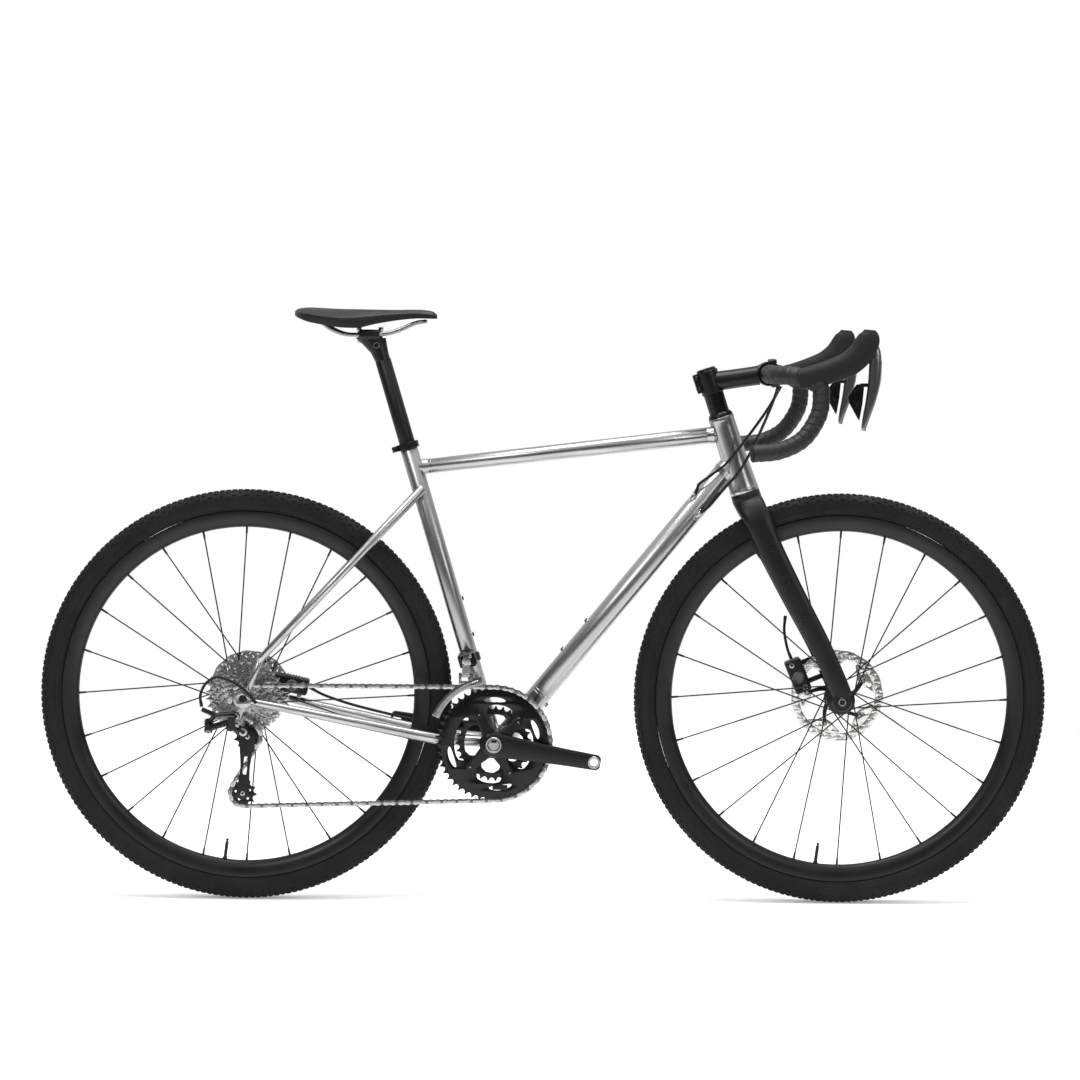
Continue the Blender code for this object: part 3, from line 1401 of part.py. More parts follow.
DERAILLEUR_AXIS = Vector((0, 0.6, 0.8))
LINK_ROOT = hanger_point() + Vector((-0.0470, RIGHT * 0.0733, -0.0215))
LINK_END = LINK_ROOT + LINK_SPAN
GUIDE = Vector((guide_centre()[0], SPROCKET_LINE, guide_centre()[1]))
CAGE_PIVOT = GUIDE + CAGE_PIVOT_OFFSET
HOUSING_STOP = LINK_ROOT + HOUSING_STOP_OFFSET


def tension_pulley_place():
    x, z = tension_centre(CAGE_SETTLED)
    return Vector((x, SPROCKET_LINE, z))


TENSION = tension_pulley_place()


def axis_rod(centre, start, end, radius, sides=8):
    return rod(centre + DERAILLEUR_AXIS * start, centre + DERAILLEUR_AXIS * end, radius, sides=sides)


def make_derailleur_bracket():
    """The fixed knuckle: an eye on the hanger and an arm back to the link's upper pivot."""
    outer = RIGHT * (REAR_SPACING / 2 + DROPOUT_THICKNESS + GAP)
    hanger = hanger_point()
    eye = Vector((hanger.x, outer + RIGHT * HANGER_EYE_WIDTH / 2, hanger.z))
    shoulder = Vector((hanger.x - 0.001, outer - 0.0048, hanger.z + 0.0055))
    knee = LINK_ROOT + Vector((0.0120, -0.0050, 0.0230))
    barrel_middle = LINK_ROOT + DERAILLEUR_AXIS * (LINK_BARREL_HALF + 0.0052)
    barrel = axis_rod(LINK_ROOT, LINK_BARREL_HALF + GAP, KNUCKLE_BARREL_END, 0.0080)
    fuse(
        barrel,
        cross_rod(eye, HANGER_EYE_RADIUS, HANGER_EYE_WIDTH, sides=12),
        rod(shoulder, knee, 0.0042, sides=8),
        rod(knee + Vector((0.001, 0, 0.001)), barrel_middle, 0.0044, sides=8),
        rod(knee, HOUSING_STOP, 0.0042, sides=8),
    )
    cut(barrel, axis_rod(LINK_ROOT, 0, 0.03, PULLEY_AXLE_RADIUS + GAP))
    return finish(barrel, "rear_derailleur_bracket", DARK_ALLOY)


def make_derailleur_link(pivot):
    """The swinging link with a pin through each end."""
    link = rod(LINK_ROOT, LINK_END, 0.0058, sides=8)
    fuse(
        link,
        axis_rod(LINK_ROOT, -LINK_BARREL_HALF, LINK_BARREL_HALF, 0.0075),
        axis_rod(LINK_END, -LINK_BARREL_HALF, LINK_BARREL_HALF, 0.0075),
        axis_rod(LINK_ROOT, 0, KNUCKLE_BARREL_END + 0.0005, PULLEY_AXLE_RADIUS, 8),
        axis_rod(LINK_END, -KNUCKLE_BARREL_END - 0.0005, 0, PULLEY_AXLE_RADIUS, 8),
    )
    return finish(link, "rear_derailleur_link", DARK_ALLOY, pivot)


def make_derailleur_knuckle(pivot):
    """The lower knuckle that hangs from the link and carries the cage."""
    barrel = axis_rod(LINK_END, -KNUCKLE_BARREL_END, -LINK_BARREL_HALF - GAP, 0.0080)
    outer = SPROCKET_LINE - CAGE_GAP_HALF - CAGE_PLATE - GAP
    boss_centre = Vector((CAGE_PIVOT.x, outer - KNUCKLE_BOSS_WIDTH / 2, CAGE_PIVOT.z))
    start = LINK_END - DERAILLEUR_AXIS * (KNUCKLE_BARREL_END - 0.0031)
    fuse(
        barrel,
        cross_rod(boss_centre, 0.0100, KNUCKLE_BOSS_WIDTH, sides=12),
        rod(start, boss_centre - SIDEWAYS * 0.001, 0.0044, sides=8),
    )
    cut(barrel, axis_rod(LINK_END, -0.03, 0, PULLEY_AXLE_RADIUS + GAP))
    return finish(barrel, "rear_derailleur_knuckle", DARK_ALLOY, pivot)


def cage_outline():
    """A slim plate round both pulleys, wider at the pulleys."""
    start = Vector((GUIDE.x, GUIDE.z))
    end = Vector((TENSION.x, TENSION.z))
    along = (end - start).normalized()
    across = Vector((-along.y, along.x))
    points = []
    for turn in range(-90, 91, 45):
        angle = math.radians(turn)
        points.append(end + along * 0.0110 * math.cos(angle) + across * 0.0110 * math.sin(angle))
    points.append(start + along * 0.055 + across * 0.0075)
    for turn in range(90, 271, 45):
        angle = math.radians(turn)
        points.append(start + along * 0.0145 * math.cos(angle) + across * 0.0145 * math.sin(angle))
    points.append(start + along * 0.055 - across * 0.0075)
    return [(p.x, p.y) for p in points]


def make_derailleur_cage(pivot):
    outline = cage_outline()
    reach = CAGE_GAP_HALF + CAGE_PLATE / 2
    cage = plate([outline], SPROCKET_LINE - reach, CAGE_PLATE)
    fuse(
        cage,
        plate([outline], SPROCKET_LINE + reach, CAGE_PLATE),
        cross_rod(GUIDE, PULLEY_AXLE_RADIUS, 2 * reach, sides=8),
        cross_rod(TENSION, PULLEY_AXLE_RADIUS, 2 * reach, sides=8),
    )
    return finish(cage, "rear_derailleur_cage", DARK_ALLOY, pivot)


def make_pulley(name, place, pivot):
    centre = (place.x, place.z)
    pulley = plate([full_teeth(PULLEY_TEETH, centre, wheel_phase(*centre))], place.y, TOOTH_THICKNESS)
    fuse(pulley, cross_rod(place, 0.0080, 2 * (CAGE_GAP_HALF - GAP), sides=8))
    cut(pulley, cross_rod(place, PULLEY_AXLE_RADIUS + GAP, 0.03, sides=8))
    return finish(pulley, name, DARK_ALLOY, pivot)


FRONT_LINK_BOTTOM = FRONT_LINK_TOP - Vector((0, 0, FRONT_LINK_LENGTH))


def make_front_derailleur_body():
    """A clamp round the seat tube with a fork that holds the link."""
    seat = SEAT_UP * (FRONT_LINK_TOP.z / SEAT_UP.z)
    band = rod(seat - SEAT_UP * 0.007, seat + SEAT_UP * 0.007, SEAT_TUBE_RADIUS + 0.0030)
    middle = Vector((FRONT_LINK_TOP.x + 0.002, -0.0320, FRONT_LINK_TOP.z + 0.001))
    body = rounded(block(middle, (0.030, 0.046, 0.026), math.pi / 2 - SEAT_ANGLE), 0.004)
    fuse(band, body)
    pocket = FRONT_LINK_TOP + Vector((0, -0.001, -0.006))
    cut(
        band,
        rod(seat - SEAT_UP * 0.05, seat + SEAT_UP * 0.05, SEAT_TUBE_RADIUS + GAP),
        block(pocket, (FRONT_LINK_WIDTH + 2 * GAP, 0.0200, 0.0280)),
    )
    fuse(band, length_rod(FRONT_LINK_TOP, 0.024, FRONT_PIN_RADIUS, 8))
    return finish(band, "front_derailleur_body", DARK_ALLOY)


def length_rod(centre, length, radius, sides=10):
    """A cylinder along X."""
    half = Vector((length / 2, 0, 0))
    return rod(centre - half, centre + half, radius, sides=sides)


def make_front_derailleur_link(pivot):
    link = length_rod(FRONT_LINK_TOP, FRONT_LINK_WIDTH, 0.0050)
    middle = (FRONT_LINK_TOP + FRONT_LINK_BOTTOM) / 2
    fuse(
        link,
        block(middle, (FRONT_LINK_WIDTH - 2 * GAP, 0.0060, FRONT_LINK_LENGTH)),
        length_rod(FRONT_LINK_BOTTOM, FRONT_LINK_WIDTH, 0.0045),
    )
    cut(
        link,
        length_rod(FRONT_LINK_TOP, 0.06, FRONT_PIN_BORE, 8),
        length_rod(FRONT_LINK_BOTTOM, 0.06, FRONT_PIN_BORE, 8),
    )
    return finish(link, "front_derailleur_link", DARK_ALLOY, pivot)


def arc_band(inner, outer, start, end, steps):
    angles = [start + (end - start) * i / steps for i in range(steps + 1)]
    band = [(outer * math.cos(a), outer * math.sin(a)) for a in angles]
    return band + [(inner * math.cos(a), inner * math.sin(a)) for a in reversed(angles)]


def make_front_derailleur_cage(pivot):
    """Two curved plates either side of the chain, joined above it and behind."""
    outer_radius = FRONT_CAGE_INNER_RADIUS + FRONT_CAGE_HEIGHT
    band = arc_band(FRONT_CAGE_INNER_RADIUS, outer_radius, math.radians(96), math.radians(156), 5)
    near = RING_LINE - FRONT_CAGE_OUTSIDE - FRONT_CAGE_PLATE / 2
    far = RING_LINE + FRONT_CAGE_INSIDE + FRONT_CAGE_PLATE / 2
    cage = plate([band], near, FRONT_CAGE_PLATE)
    tail_angle = math.radians(153)
    tail = Vector((math.cos(tail_angle), 0, math.sin(tail_angle))) * (outer_radius - FRONT_CAGE_HEIGHT / 2)
    tail.y = (near + far) / 2
    bottom = FRONT_LINK_BOTTOM
    bridge = block(
        Vector((bottom.x, (near + far) / 2, bottom.z - 0.0055)),
        (0.024, far - near + FRONT_CAGE_PLATE * 0.8, 0.018),
    )
    room = bottom + Vector((0, 0, 0.0045))
    cut(bridge, block(room, (FRONT_LINK_WIDTH + 2 * GAP, 0.0200, 0.0190)))
    fuse(
        cage,
        plate([band], far, FRONT_CAGE_PLATE),
        cross_rod(tail, 0.0025, far - near, sides=6),
        bridge,
    )
    fuse(cage, length_rod(bottom, 0.020, FRONT_PIN_RADIUS, 8))
    return finish(cage, "front_derailleur_cage", SILVER, pivot)


# Seat

def seat_post_point(height):
    """A place on the seat tube's line at a height above the bottom bracket."""
    return SEAT_UP * (height / SEAT_UP.z)


def rails(radius):
    right = [Vector((x, RIGHT * away, RAIL_HEIGHT + up)) for x, away, up in RAIL_SIDE]
    points = right + [Vector((p.x, -p.y, p.z)) for p in reversed(right)]
    return pipe(smooth_path(points, 0.030), radius, 1)


def make_saddle(pivot):
    """A padded shell: a crowned top whose edges turn down round a hollow underside."""
    rings = []
    for share, width, low, crown, skirt in SADDLE_SECTIONS:
        x = SADDLE_TAIL_X + share * SADDLE_LENGTH
        half = width * SADDLE_WIDTH / 2
        top = RAIL_HEIGHT + SADDLE_RISE - low
        edge = top - crown
        ring = []
        for i in range(9):
            across = math.sin(math.pi * (i / 8 - 0.5))
            ring.append(Vector((x, half * across, top - crown * abs(across) ** 2.6)))
        hollow = 0.45 * (crown + skirt) + 0.002
        for across, z in (
            (0.95, edge - skirt),
            (0.70, edge - skirt * 0.60),
            (0.00, top - hollow),
            (-0.70, edge - skirt * 0.60),
            (-0.95, edge - skirt),
        ):
            ring.append(Vector((x, half * across, z)))
        rings.append(ring)
    saddle = cut(skin(rings), rails(RAIL_RADIUS + GAP))
    return finish(saddle, "saddle", LEATHER, pivot, sharp=50)


def make_rails(pivot):
    return finish(rails(RAIL_RADIUS), "saddle_rails", SILVER, pivot)


def make_seatpost(pivot):
    bottom = SEAT_TOP - SEAT_UP * SEATPOST_INSERT
    post = rod(bottom, seat_post_point(RAIL_HEIGHT - SEATPOST_HEAD[0][0] + 0.004), SEATPOST_RADIUS, sides=12)
    rings = []
    for under, back, half_length, half_width in SEATPOST_HEAD:
        centre = seat_post_point(RAIL_HEIGHT - under) - Vector((back, 0, 0))
        rings.append(oval(centre, Vector((half_length, 0, 0)), SIDEWAYS * half_width, 12, 0.95))
    cradle = block(Vector((RAIL_CLAMP_X, 0, RAIL_HEIGHT - 0.0015)), (0.036, 2 * RAIL_SPREAD + 0.012, 0.015))
    fuse(post, skin(rings), rounded(cradle, 0.003))
    cut(post, rails(RAIL_RADIUS + GAP))
    return finish(post, "seatpost", CARBON, pivot)


def make_bb_cup(side, name):
    start = BB_SHELL_WIDTH / 2 + GAP
    cup = rod(SIDEWAYS * side * start, SIDEWAYS * side * (start + 0.010), 0.0218, 0.0205, sides=12)
    bore = cross_rod(Vector((0, 0, 0)), turning_bore(SPINDLE_RADIUS, 12), 0.12, sides=12)
    return finish(cut(cup, bore), name, DARK_ALLOY)


make_frame()
headset_bearing("headset_bearing_upper", HEAD_TOP - HEAD_UP * HEADSET_POCKET, HEAD_UP)
headset_bearing("headset_bearing_lower", HEAD_BOTTOM, HEAD_UP)
make_seat_clamp()
make_bb_cup(RIGHT, "bb_cup_right")
make_bb_cup(LEFT, "bb_cup_left")

STEERING = make_pivot("steering_axis", HEAD_TOP, HEAD_UP)
FRONT_WHEEL = make_pivot("front_wheel_axis", FRONT_AXLE, SIDEWAYS, STEERING)
REAR_WHEEL = make_pivot("rear_wheel_axis", REAR_AXLE, SIDEWAYS)
CASSETTE = make_pivot("cassette_axis", REAR_AXLE, SIDEWAYS)
CRANKSET = make_pivot("crankset_axis", Vector((0, 0, 0)), SIDEWAYS)
SEATPOST = make_pivot("seatpost_axis", SEAT_TOP, SEAT_UP)
REAR_LINK = make_pivot("rear_derailleur_link_axis", LINK_ROOT, DERAILLEUR_AXIS)
REAR_KNUCKLE = make_pivot("rear_derailleur_knuckle_axis", LINK_END, DERAILLEUR_AXIS, REAR_LINK)
REAR_CAGE = make_pivot("rear_derailleur_cage_axis", CAGE_PIVOT, SIDEWAYS, REAR_KNUCKLE)
GUIDE_PULLEY = make_pivot("guide_pulley_axis", GUIDE, SIDEWAYS, REAR_CAGE)
TENSION_PULLEY = make_pivot("tension_pulley_axis", TENSION, SIDEWAYS, REAR_CAGE)
FRONT_LINK = make_pivot("front_derailleur_link_axis", FRONT_LINK_TOP, Vector((1, 0, 0)))
FRONT_CAGE = make_pivot("front_derailleur_cage_axis", FRONT_LINK_BOTTOM, Vector((1, 0, 0)), FRONT_LINK)

for prefix, axle, pivot in (("front", FRONT_AXLE, FRONT_WHEEL), ("rear", REAR_AXLE, REAR_WHEEL)):
    make_tyre(prefix + "_tyre", axle, pivot)
    make_rim(prefix + "_rim", axle, pivot)
FRONT_HUB_END = FRONT_SPACING / 2 - GAP
REAR_HUB_ENDS = (CASSETTE_END + GAP, REAR_SPACING / 2 - GAP)
FRONT_HUB_ENDS = (-FRONT_HUB_END, FRONT_HUB_END)
make_hub("front_hub", FRONT_AXLE, FRONT_WHEEL, FRONT_HUB_ENDS, FRONT_FLANGES, FRONT_ROTOR_Y, 0.0125)
make_hub("rear_hub", REAR_AXLE, REAR_WHEEL, REAR_HUB_ENDS, REAR_FLANGES, REAR_ROTOR_Y, 0.0130)
make_rotor("front_rotor", FRONT_AXLE, FRONT_ROTOR_Y, FRONT_ROTOR_RADIUS, FRONT_WHEEL)
make_rotor("rear_rotor", REAR_AXLE, REAR_ROTOR_Y, REAR_ROTOR_RADIUS, REAR_WHEEL)
make_thru_axle("front_thru_axle", FRONT_AXLE, FRONT_SPACING, RIGHT, STEERING)
make_thru_axle("rear_thru_axle", REAR_AXLE, REAR_SPACING, LEFT)
make_cassette(CASSETTE)
make_crank_right(CRANKSET)
make_crank_left(CRANKSET)
make_chainring(
    "chainring_outer", RING_LINE, RING_INNER_RADIUS, BOLT_CIRCLE_RADIUS,
    full_teeth(RING_TEETH, (0, 0), wheel_phase(0, 0)), CRANKSET,
)
make_chainring(
    "chainring_inner", SMALL_RING_LINE, SMALL_RING_INNER_RADIUS, INNER_BOLT_CIRCLE_RADIUS,
    plain_teeth(SMALL_RING_TEETH, (0, 0), 0.0), CRANKSET,
)
make_chain()

make_fork(STEERING)
make_headset_cover(STEERING)
make_spacer(STEERING)
make_stem(STEERING)
make_faceplate(STEERING)
make_top_cap(STEERING)
make_handlebar(STEERING)
for side, label in ((RIGHT, "right"), (LEFT, "left")):
    make_tape(side, "bar_tape_" + label, STEERING)
    make_bar_plug(side, "bar_plug_" + label, STEERING)
    make_hood(side, "hood_" + label, STEERING)
    place = BAR_CENTRE + Vector((LEVER_PIVOT[0], hood_y(side), LEVER_PIVOT[1]))
    lever_pivot = make_pivot("brake_lever_axis_" + label, place, SIDEWAYS, STEERING)
    make_lever(side, "brake_lever_" + label, lever_pivot)
    place = BAR_CENTRE + Vector((PADDLE_SECTIONS[0][0], hood_y(side), PADDLE_SECTIONS[0][1]))
    paddle_pivot = make_pivot("shift_paddle_axis_" + label, place, Vector((0, 0, 1)), lever_pivot)
    make_paddle(side, "shift_paddle_" + label, paddle_pivot)

make_seatpost(SEATPOST)
make_rails(SEATPOST)
make_saddle(SEATPOST)

make_derailleur_bracket()
make_derailleur_link(REAR_LINK)
make_derailleur_knuckle(REAR_KNUCKLE)
make_derailleur_cage(REAR_CAGE)
make_pulley("guide_pulley", GUIDE, GUIDE_PULLEY)
make_pulley("tension_pulley", TENSION, TENSION_PULLEY)
make_front_derailleur_body()
make_front_derailleur_link(FRONT_LINK)
make_front_derailleur_cage(FRONT_CAGE)

make_caliper("front_caliper", FRONT_CALIPER, FRONT_AXLE, FRONT_ROTOR_Y, FRONT_ROTOR_RADIUS, STEERING)
make_caliper("rear_caliper", REAR_CALIPER, REAR_AXLE, REAR_ROTOR_Y, REAR_ROTOR_RADIUS)
hose("shift_housing", [
    Vector(p) for p in (
        (0.479, -0.070, 0.612), (0.468, -0.066, 0.590), (0.450, -0.056, 0.560),
        (0.410, -0.040, 0.503), (0.375, -0.028, 0.460),
    )
] + port_mouth(CABLE_PORTS[0]), HOSE_RADIUS, STEERING)
hose("rear_brake_hose", [
    Vector(p) for p in (
        (0.474, -0.085, 0.612), (0.462, -0.075, 0.575), (0.440, -0.056, 0.520),
        (0.415, -0.042, 0.470), (0.382, -0.032, 0.426),
    )
] + port_mouth(CABLE_PORTS[1]), HOSE_RADIUS, STEERING)
hose("front_brake_hose", [
    fork_point(0.225, 0.004, 0.044), fork_point(0.250, -0.006, 0.043),
    fork_point(0.280, -0.010, 0.042), fork_point(0.2990, -0.0090, 0.0405),
], HOSE_RADIUS, STEERING)
hose("rear_derailleur_housing", [
    REAR_AXLE + Vector(p) for p in (
        (0.024, -0.0860, -0.006), (0.005, -0.0870, 0.016), (-0.020, -0.0870, 0.032),
        (-0.043, -0.0860, 0.038), (-0.062, -0.0840, 0.026), (-0.071, -0.0815, 0.006),
    )
] + [HOUSING_STOP + Vector((0, 0, 0.0046))], HOSE_RADIUS)
hose("rear_caliper_hose", [
    REAR_AXLE + Vector(p) for p in (
        (0.300, 0.0400, -0.0500), (0.250, 0.0470, -0.0400), (0.180, 0.0560, -0.0240),
        (0.130, 0.0590, -0.0080), (0.1030, 0.0580, 0.0060),
    )
], HOSE_RADIUS)
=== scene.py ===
from math import asin, atan2, copysign, cos, degrees, exp, pi, radians, sin, sqrt

import bmesh
import bpy
from mathutils import Matrix, Vector
from mathutils.geometry import convex_hull_2d


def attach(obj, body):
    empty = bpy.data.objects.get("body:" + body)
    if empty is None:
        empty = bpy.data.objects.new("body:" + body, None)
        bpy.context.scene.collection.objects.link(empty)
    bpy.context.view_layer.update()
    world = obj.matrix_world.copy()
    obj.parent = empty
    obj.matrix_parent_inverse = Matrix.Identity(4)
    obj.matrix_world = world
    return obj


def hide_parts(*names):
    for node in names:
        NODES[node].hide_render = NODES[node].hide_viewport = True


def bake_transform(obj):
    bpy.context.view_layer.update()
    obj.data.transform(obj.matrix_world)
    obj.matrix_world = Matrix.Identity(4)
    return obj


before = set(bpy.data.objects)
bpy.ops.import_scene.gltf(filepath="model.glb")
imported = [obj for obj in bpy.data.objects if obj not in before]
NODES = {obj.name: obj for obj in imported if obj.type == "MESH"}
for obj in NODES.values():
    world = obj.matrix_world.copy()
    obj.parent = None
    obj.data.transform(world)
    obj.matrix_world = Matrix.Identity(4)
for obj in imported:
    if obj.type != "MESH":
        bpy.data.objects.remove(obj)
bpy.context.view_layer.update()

RIGHT, LEFT = -1, 1
SIDEWAYS = Vector((0, 1, 0))
SIDES = (("right", RIGHT), ("left", LEFT))
ORIGIN = Vector((0, 0, 0))

# Places of the CAD model that the pieces here are fitted to
FRONT_AXLE = Vector((0.591, 0, 0.0765))
REAR_AXLE = Vector((-0.42497, 0, 0.0765))
HEAD_TOP = Vector((0.3829, 0, 0.5575))
HEAD_LENGTH = 0.1346
HEAD_ANGLE = radians(71.7)
HEAD_UP = Vector((-cos(HEAD_ANGLE), 0, sin(HEAD_ANGLE)))
HEAD_FORWARD = Vector((sin(HEAD_ANGLE), 0, cos(HEAD_ANGLE)))
SEAT_ANGLE = radians(73.4)
SEAT_UP = Vector((-cos(SEAT_ANGLE), 0, sin(SEAT_ANGLE)))
CRANK_ANGLE = radians(-9.2)
STEM_ANGLE = radians(8.6)
STEM_ALONG = Vector((cos(STEM_ANGLE), 0, sin(STEM_ANGLE)))
STEM_SEAT = HEAD_TOP + HEAD_UP * 0.0623
BAR_CENTRE = STEM_SEAT + STEM_ALONG * 0.101
CONTROL_REACH = 0.204
DOWN_START, DOWN_END, DOWN_RADIUS = Vector((0.007345, 0, -0.006181)), Vector((0.407234, 0, 0.48392)), 0.019
DOWN_UP = (DOWN_END - DOWN_START).normalized()
DOWN_OUT = Vector((-DOWN_UP.z, 0, DOWN_UP.x))
SEAT_TOP, SEAT_RADIUS = SEAT_UP * 0.53, 0.0148
SEAT_OUT = Vector((SEAT_UP.z, 0, -SEAT_UP.x))
STAY_SEAT, DROPOUT = SEAT_UP * 0.448, 0.0745
CALIPER_FRONT = Vector((0.523077, 0.0405, 0.111351))
PORTS = ((0.54, 0.015), (0.522, -0.0107))

# Materials


def new_material(name):
    """A material with its Principled shader, and a helper that adds and joins its nodes."""
    material = bpy.data.materials.new(name)
    material.use_nodes = True
    return material, Graph(material.node_tree)


class Graph:
    """Short ways to add nodes to a tree and join them to its shader."""

    def __init__(self, tree, shader="Principled BSDF"):
        self.tree = tree
        self.shader = tree.nodes[shader]
        self.place = self.node("ShaderNodeTexCoord").outputs

    def node(self, kind, **settings):
        made = self.tree.nodes.new(kind)
        for key, value in settings.items():
            if key in made.inputs:
                made.inputs[key].default_value = value
            else:
                setattr(made, key, value)
        return made

    def join(self, source, target):
        self.tree.links.new(source, target)

    def set(self, **values):
        for key, value in values.items():
            self.shader.inputs[key.replace("_", " ")].default_value = value

    def stretched(self, scale, turn=(0, 0, 0)):
        """Object coordinates turned and scaled."""
        moved = self.node("ShaderNodeMapping", vector_type="TEXTURE", Rotation=turn)
        self.join(self.place["Object"], moved.inputs["Vector"])
        scaled = self.node("ShaderNodeMapping", Scale=scale)
        self.join(moved.outputs[0], scaled.inputs["Vector"])
        return scaled.outputs[0]

    def noise(self, vector, detail):
        made = self.node("ShaderNodeTexNoise", Scale=1, Detail=detail)
        self.join(vector, made.inputs["Vector"])
        return made.outputs["Fac"]

    def spread(self, value, low, high, start=0.3, end=0.7, **settings):
        """A value's range from start to end spread over another range."""
        limits = {"From Min": start, "From Max": end, "To Min": low, "To Max": high}
        made = self.node("ShaderNodeMapRange", **limits, **settings)
        self.join(value, made.inputs["Value"])
        return made.outputs["Result"]

    def colour_between(self, value, first, second):
        ramp = self.node("ShaderNodeValToRGB")
        for element, position, colour in zip(ramp.color_ramp.elements, (0.35, 0.65), (first, second)):
            element.position, element.color = position, (*colour, 1)
        self.join(value, ramp.inputs["Fac"])
        self.join(ramp.outputs["Color"], self.shader.inputs["Base Color"])

    def roughness(self, value, low, high):
        self.join(self.spread(value, low, high), self.shader.inputs["Roughness"])

    def bump(self, value, strength, distance):
        made = self.node("ShaderNodeBump", Strength=strength, Distance=distance)
        self.join(value, made.inputs["Height"])
        self.join(made.outputs["Normal"], self.shader.inputs["Normal"])


def brushed(name, dark, light, roughness, turn=(0, 0, 0), grain=(900, 900, 14)):
    """Metal with fine lines along one axis of the object."""
    material, graph = new_material(name)
    lines = graph.noise(graph.stretched(grain, turn), 1)
    clouds = graph.noise(graph.stretched((9, 9, 9)), 2)
    graph.colour_between(lines, dark, light)
    graph.roughness(clouds, *roughness)
    graph.bump(lines, 0.02, 0.0002)
    graph.set(Metallic=1)
    return material


def speckled(name, dark, light, roughness, scale, strength, metallic=0, shine=0.28, blue=0.0005):
    """A dark finish with a fine grain in its colour, gloss and surface, and a touch more blue."""
    material, graph = new_material(name)
    grain = graph.noise(graph.stretched((scale, scale, scale)), 5)
    clouds = graph.noise(graph.stretched((22, 22, 22)), 2)
    graph.colour_between(grain, (dark, dark, dark + blue), (light, light, light + blue))
    graph.roughness(clouds, *roughness)
    graph.bump(grain, strength, 0.0003)
    graph.set(Metallic=metallic, Specular_IOR_Level=shine)
    return material


# The frame's tubes are brushed along their length: angle from upright, towards the front
TUBE_LEANS = {"head": -18.3, "seat": -16.6, "top": 87.2, "down": 39.2, "seatstay": 36, "chainstay": -81.5}
TUBE_STEELS = {
    tube: brushed("brushed_steel_" + tube, (0.35, 0.35, 0.35), (0.47, 0.47, 0.465), (0.26, 0.34),
                  (0, radians(lean), 0), (220, 220, 3))
    for tube, lean in TUBE_LEANS.items()
}
STEEL = TUBE_STEELS["seat"]
BRIGHT = brushed("bright_steel", (0.34, 0.34, 0.34), (0.48, 0.48, 0.475), (0.22, 0.36), grain=(300, 300, 300))
ROTOR = brushed("ground_disc_steel", (0.58, 0.58, 0.57), (0.76, 0.76, 0.75), (0.24, 0.36), grain=(420, 40, 420))
SPROCKET = brushed("sprocket_steel", (0.28, 0.28, 0.285), (0.42, 0.42, 0.425), (0.28, 0.42), grain=(500, 60, 500))
ALLOY = speckled("black_anodised_alloy", 0.003, 0.006, (0.3, 0.42), 900, 0.08, shine=0.3)
GLOSSY = speckled("glossy_black_alloy", 0.0035, 0.006, (0.18, 0.28), 500, 0.04)
CARBON = speckled("matte_carbon", 0.004, 0.007, (0.34, 0.46), 700, 0.1, shine=0.34)
RUBBER = speckled("hood_rubber", 0.008, 0.015, (0.6, 0.78), 1100, 0.3)
TYRE = speckled("tyre_rubber", 0.005, 0.011, (0.62, 0.82), 800, 0.3, shine=0.22, blue=0)
HOUSING = speckled("housing_sleeve", 0.003, 0.006, (0.28, 0.4), 600, 0.06, blue=0)
# Grey steel for the brake blades and seat rails; on the front changer's cage it is painted shade, darker than the
# plate itself.
LEVER_AND_CAGE_SHADE = brushed("lever_silver_and_cage_shade", (0.2, 0.2, 0.21), (0.3, 0.3, 0.31), (0.24, 0.34), grain=(700, 700, 20))
GREY = speckled("grey_alloy_cap", 0.1, 0.15, (0.3, 0.42), 700, 0.06, 0.6, blue=0.005)
CHAIN_DARK = brushed("chain_inner_steel", (0.1, 0.1, 0.1), (0.18, 0.18, 0.18), (0.3, 0.44), grain=(300, 300, 300))
RIM = speckled("rim_carbon", 0.0035, 0.006, (0.3, 0.42), 600, 0.06, shine=0.36)
TAPE = speckled("bar_tape_wrap", 0.008, 0.017, (0.46, 0.62), 1300, 0.4, shine=0.4)
LEATHER = speckled("saddle_leather", 0.005, 0.009, (0.42, 0.56), 1500, 0.2, shine=0.34)

# Of the CAD nodes only the headset bearings stay in view
for name, node in NODES.items():
    node.data.materials.clear()
    node.data.materials.append(BRIGHT if name.startswith("headset_bearing") else ALLOY)
    node.data.shade_smooth()
    node.data.set_sharp_from_angle(angle=radians(40))


def add_object(name, data):
    made = bpy.data.objects.new(name, data)
    bpy.context.scene.collection.objects.link(made)
    return made


# Camera: the photograph is square and shows 1.71 mm a pixel in the bike's middle plane
PIXEL, PHOTO_SIZE, ROLL = 0.00171, 1080, 0.00756


def make_camera():
    camera = add_object("camera", bpy.data.cameras.new("camera"))
    bpy.context.scene.camera = camera
    place, aim = Vector((0.079, -5.4, 0.695)), Vector((0.076, 0, 0.345))
    look = (aim - place).to_track_quat("-Z", "Y").to_matrix().to_4x4()
    camera.matrix_world = Matrix.Translation(place) @ look @ Matrix.Rotation(ROLL, 4, "Z")
    camera.data.lens = (aim - place).length / (PIXEL * PHOTO_SIZE) * camera.data.sensor_width
    camera.data.clip_end = 100


# Shapes


def cosine(turn):
    return Vector((cos(turn), 0, sin(turn)))


def polar(radius, turn, centre=(0, 0)):
    return centre[0] + radius * cos(turn), centre[1] + radius * sin(turn)


def turns(count, phase=0):
    """So many even turns round a circle, the first at a share of a step."""
    return [2 * pi * (i + phase) / count for i in range(count)]


def ease(share):
    """A smooth step from 0 to 1, for a share that may lie outside them."""
    share = min(1, max(0, share))
    return share * share * (3 - 2 * share)


def heading(points, i):
    return (points[min(i + 1, len(points) - 1)] - points[max(i - 1, 0)]).normalized()


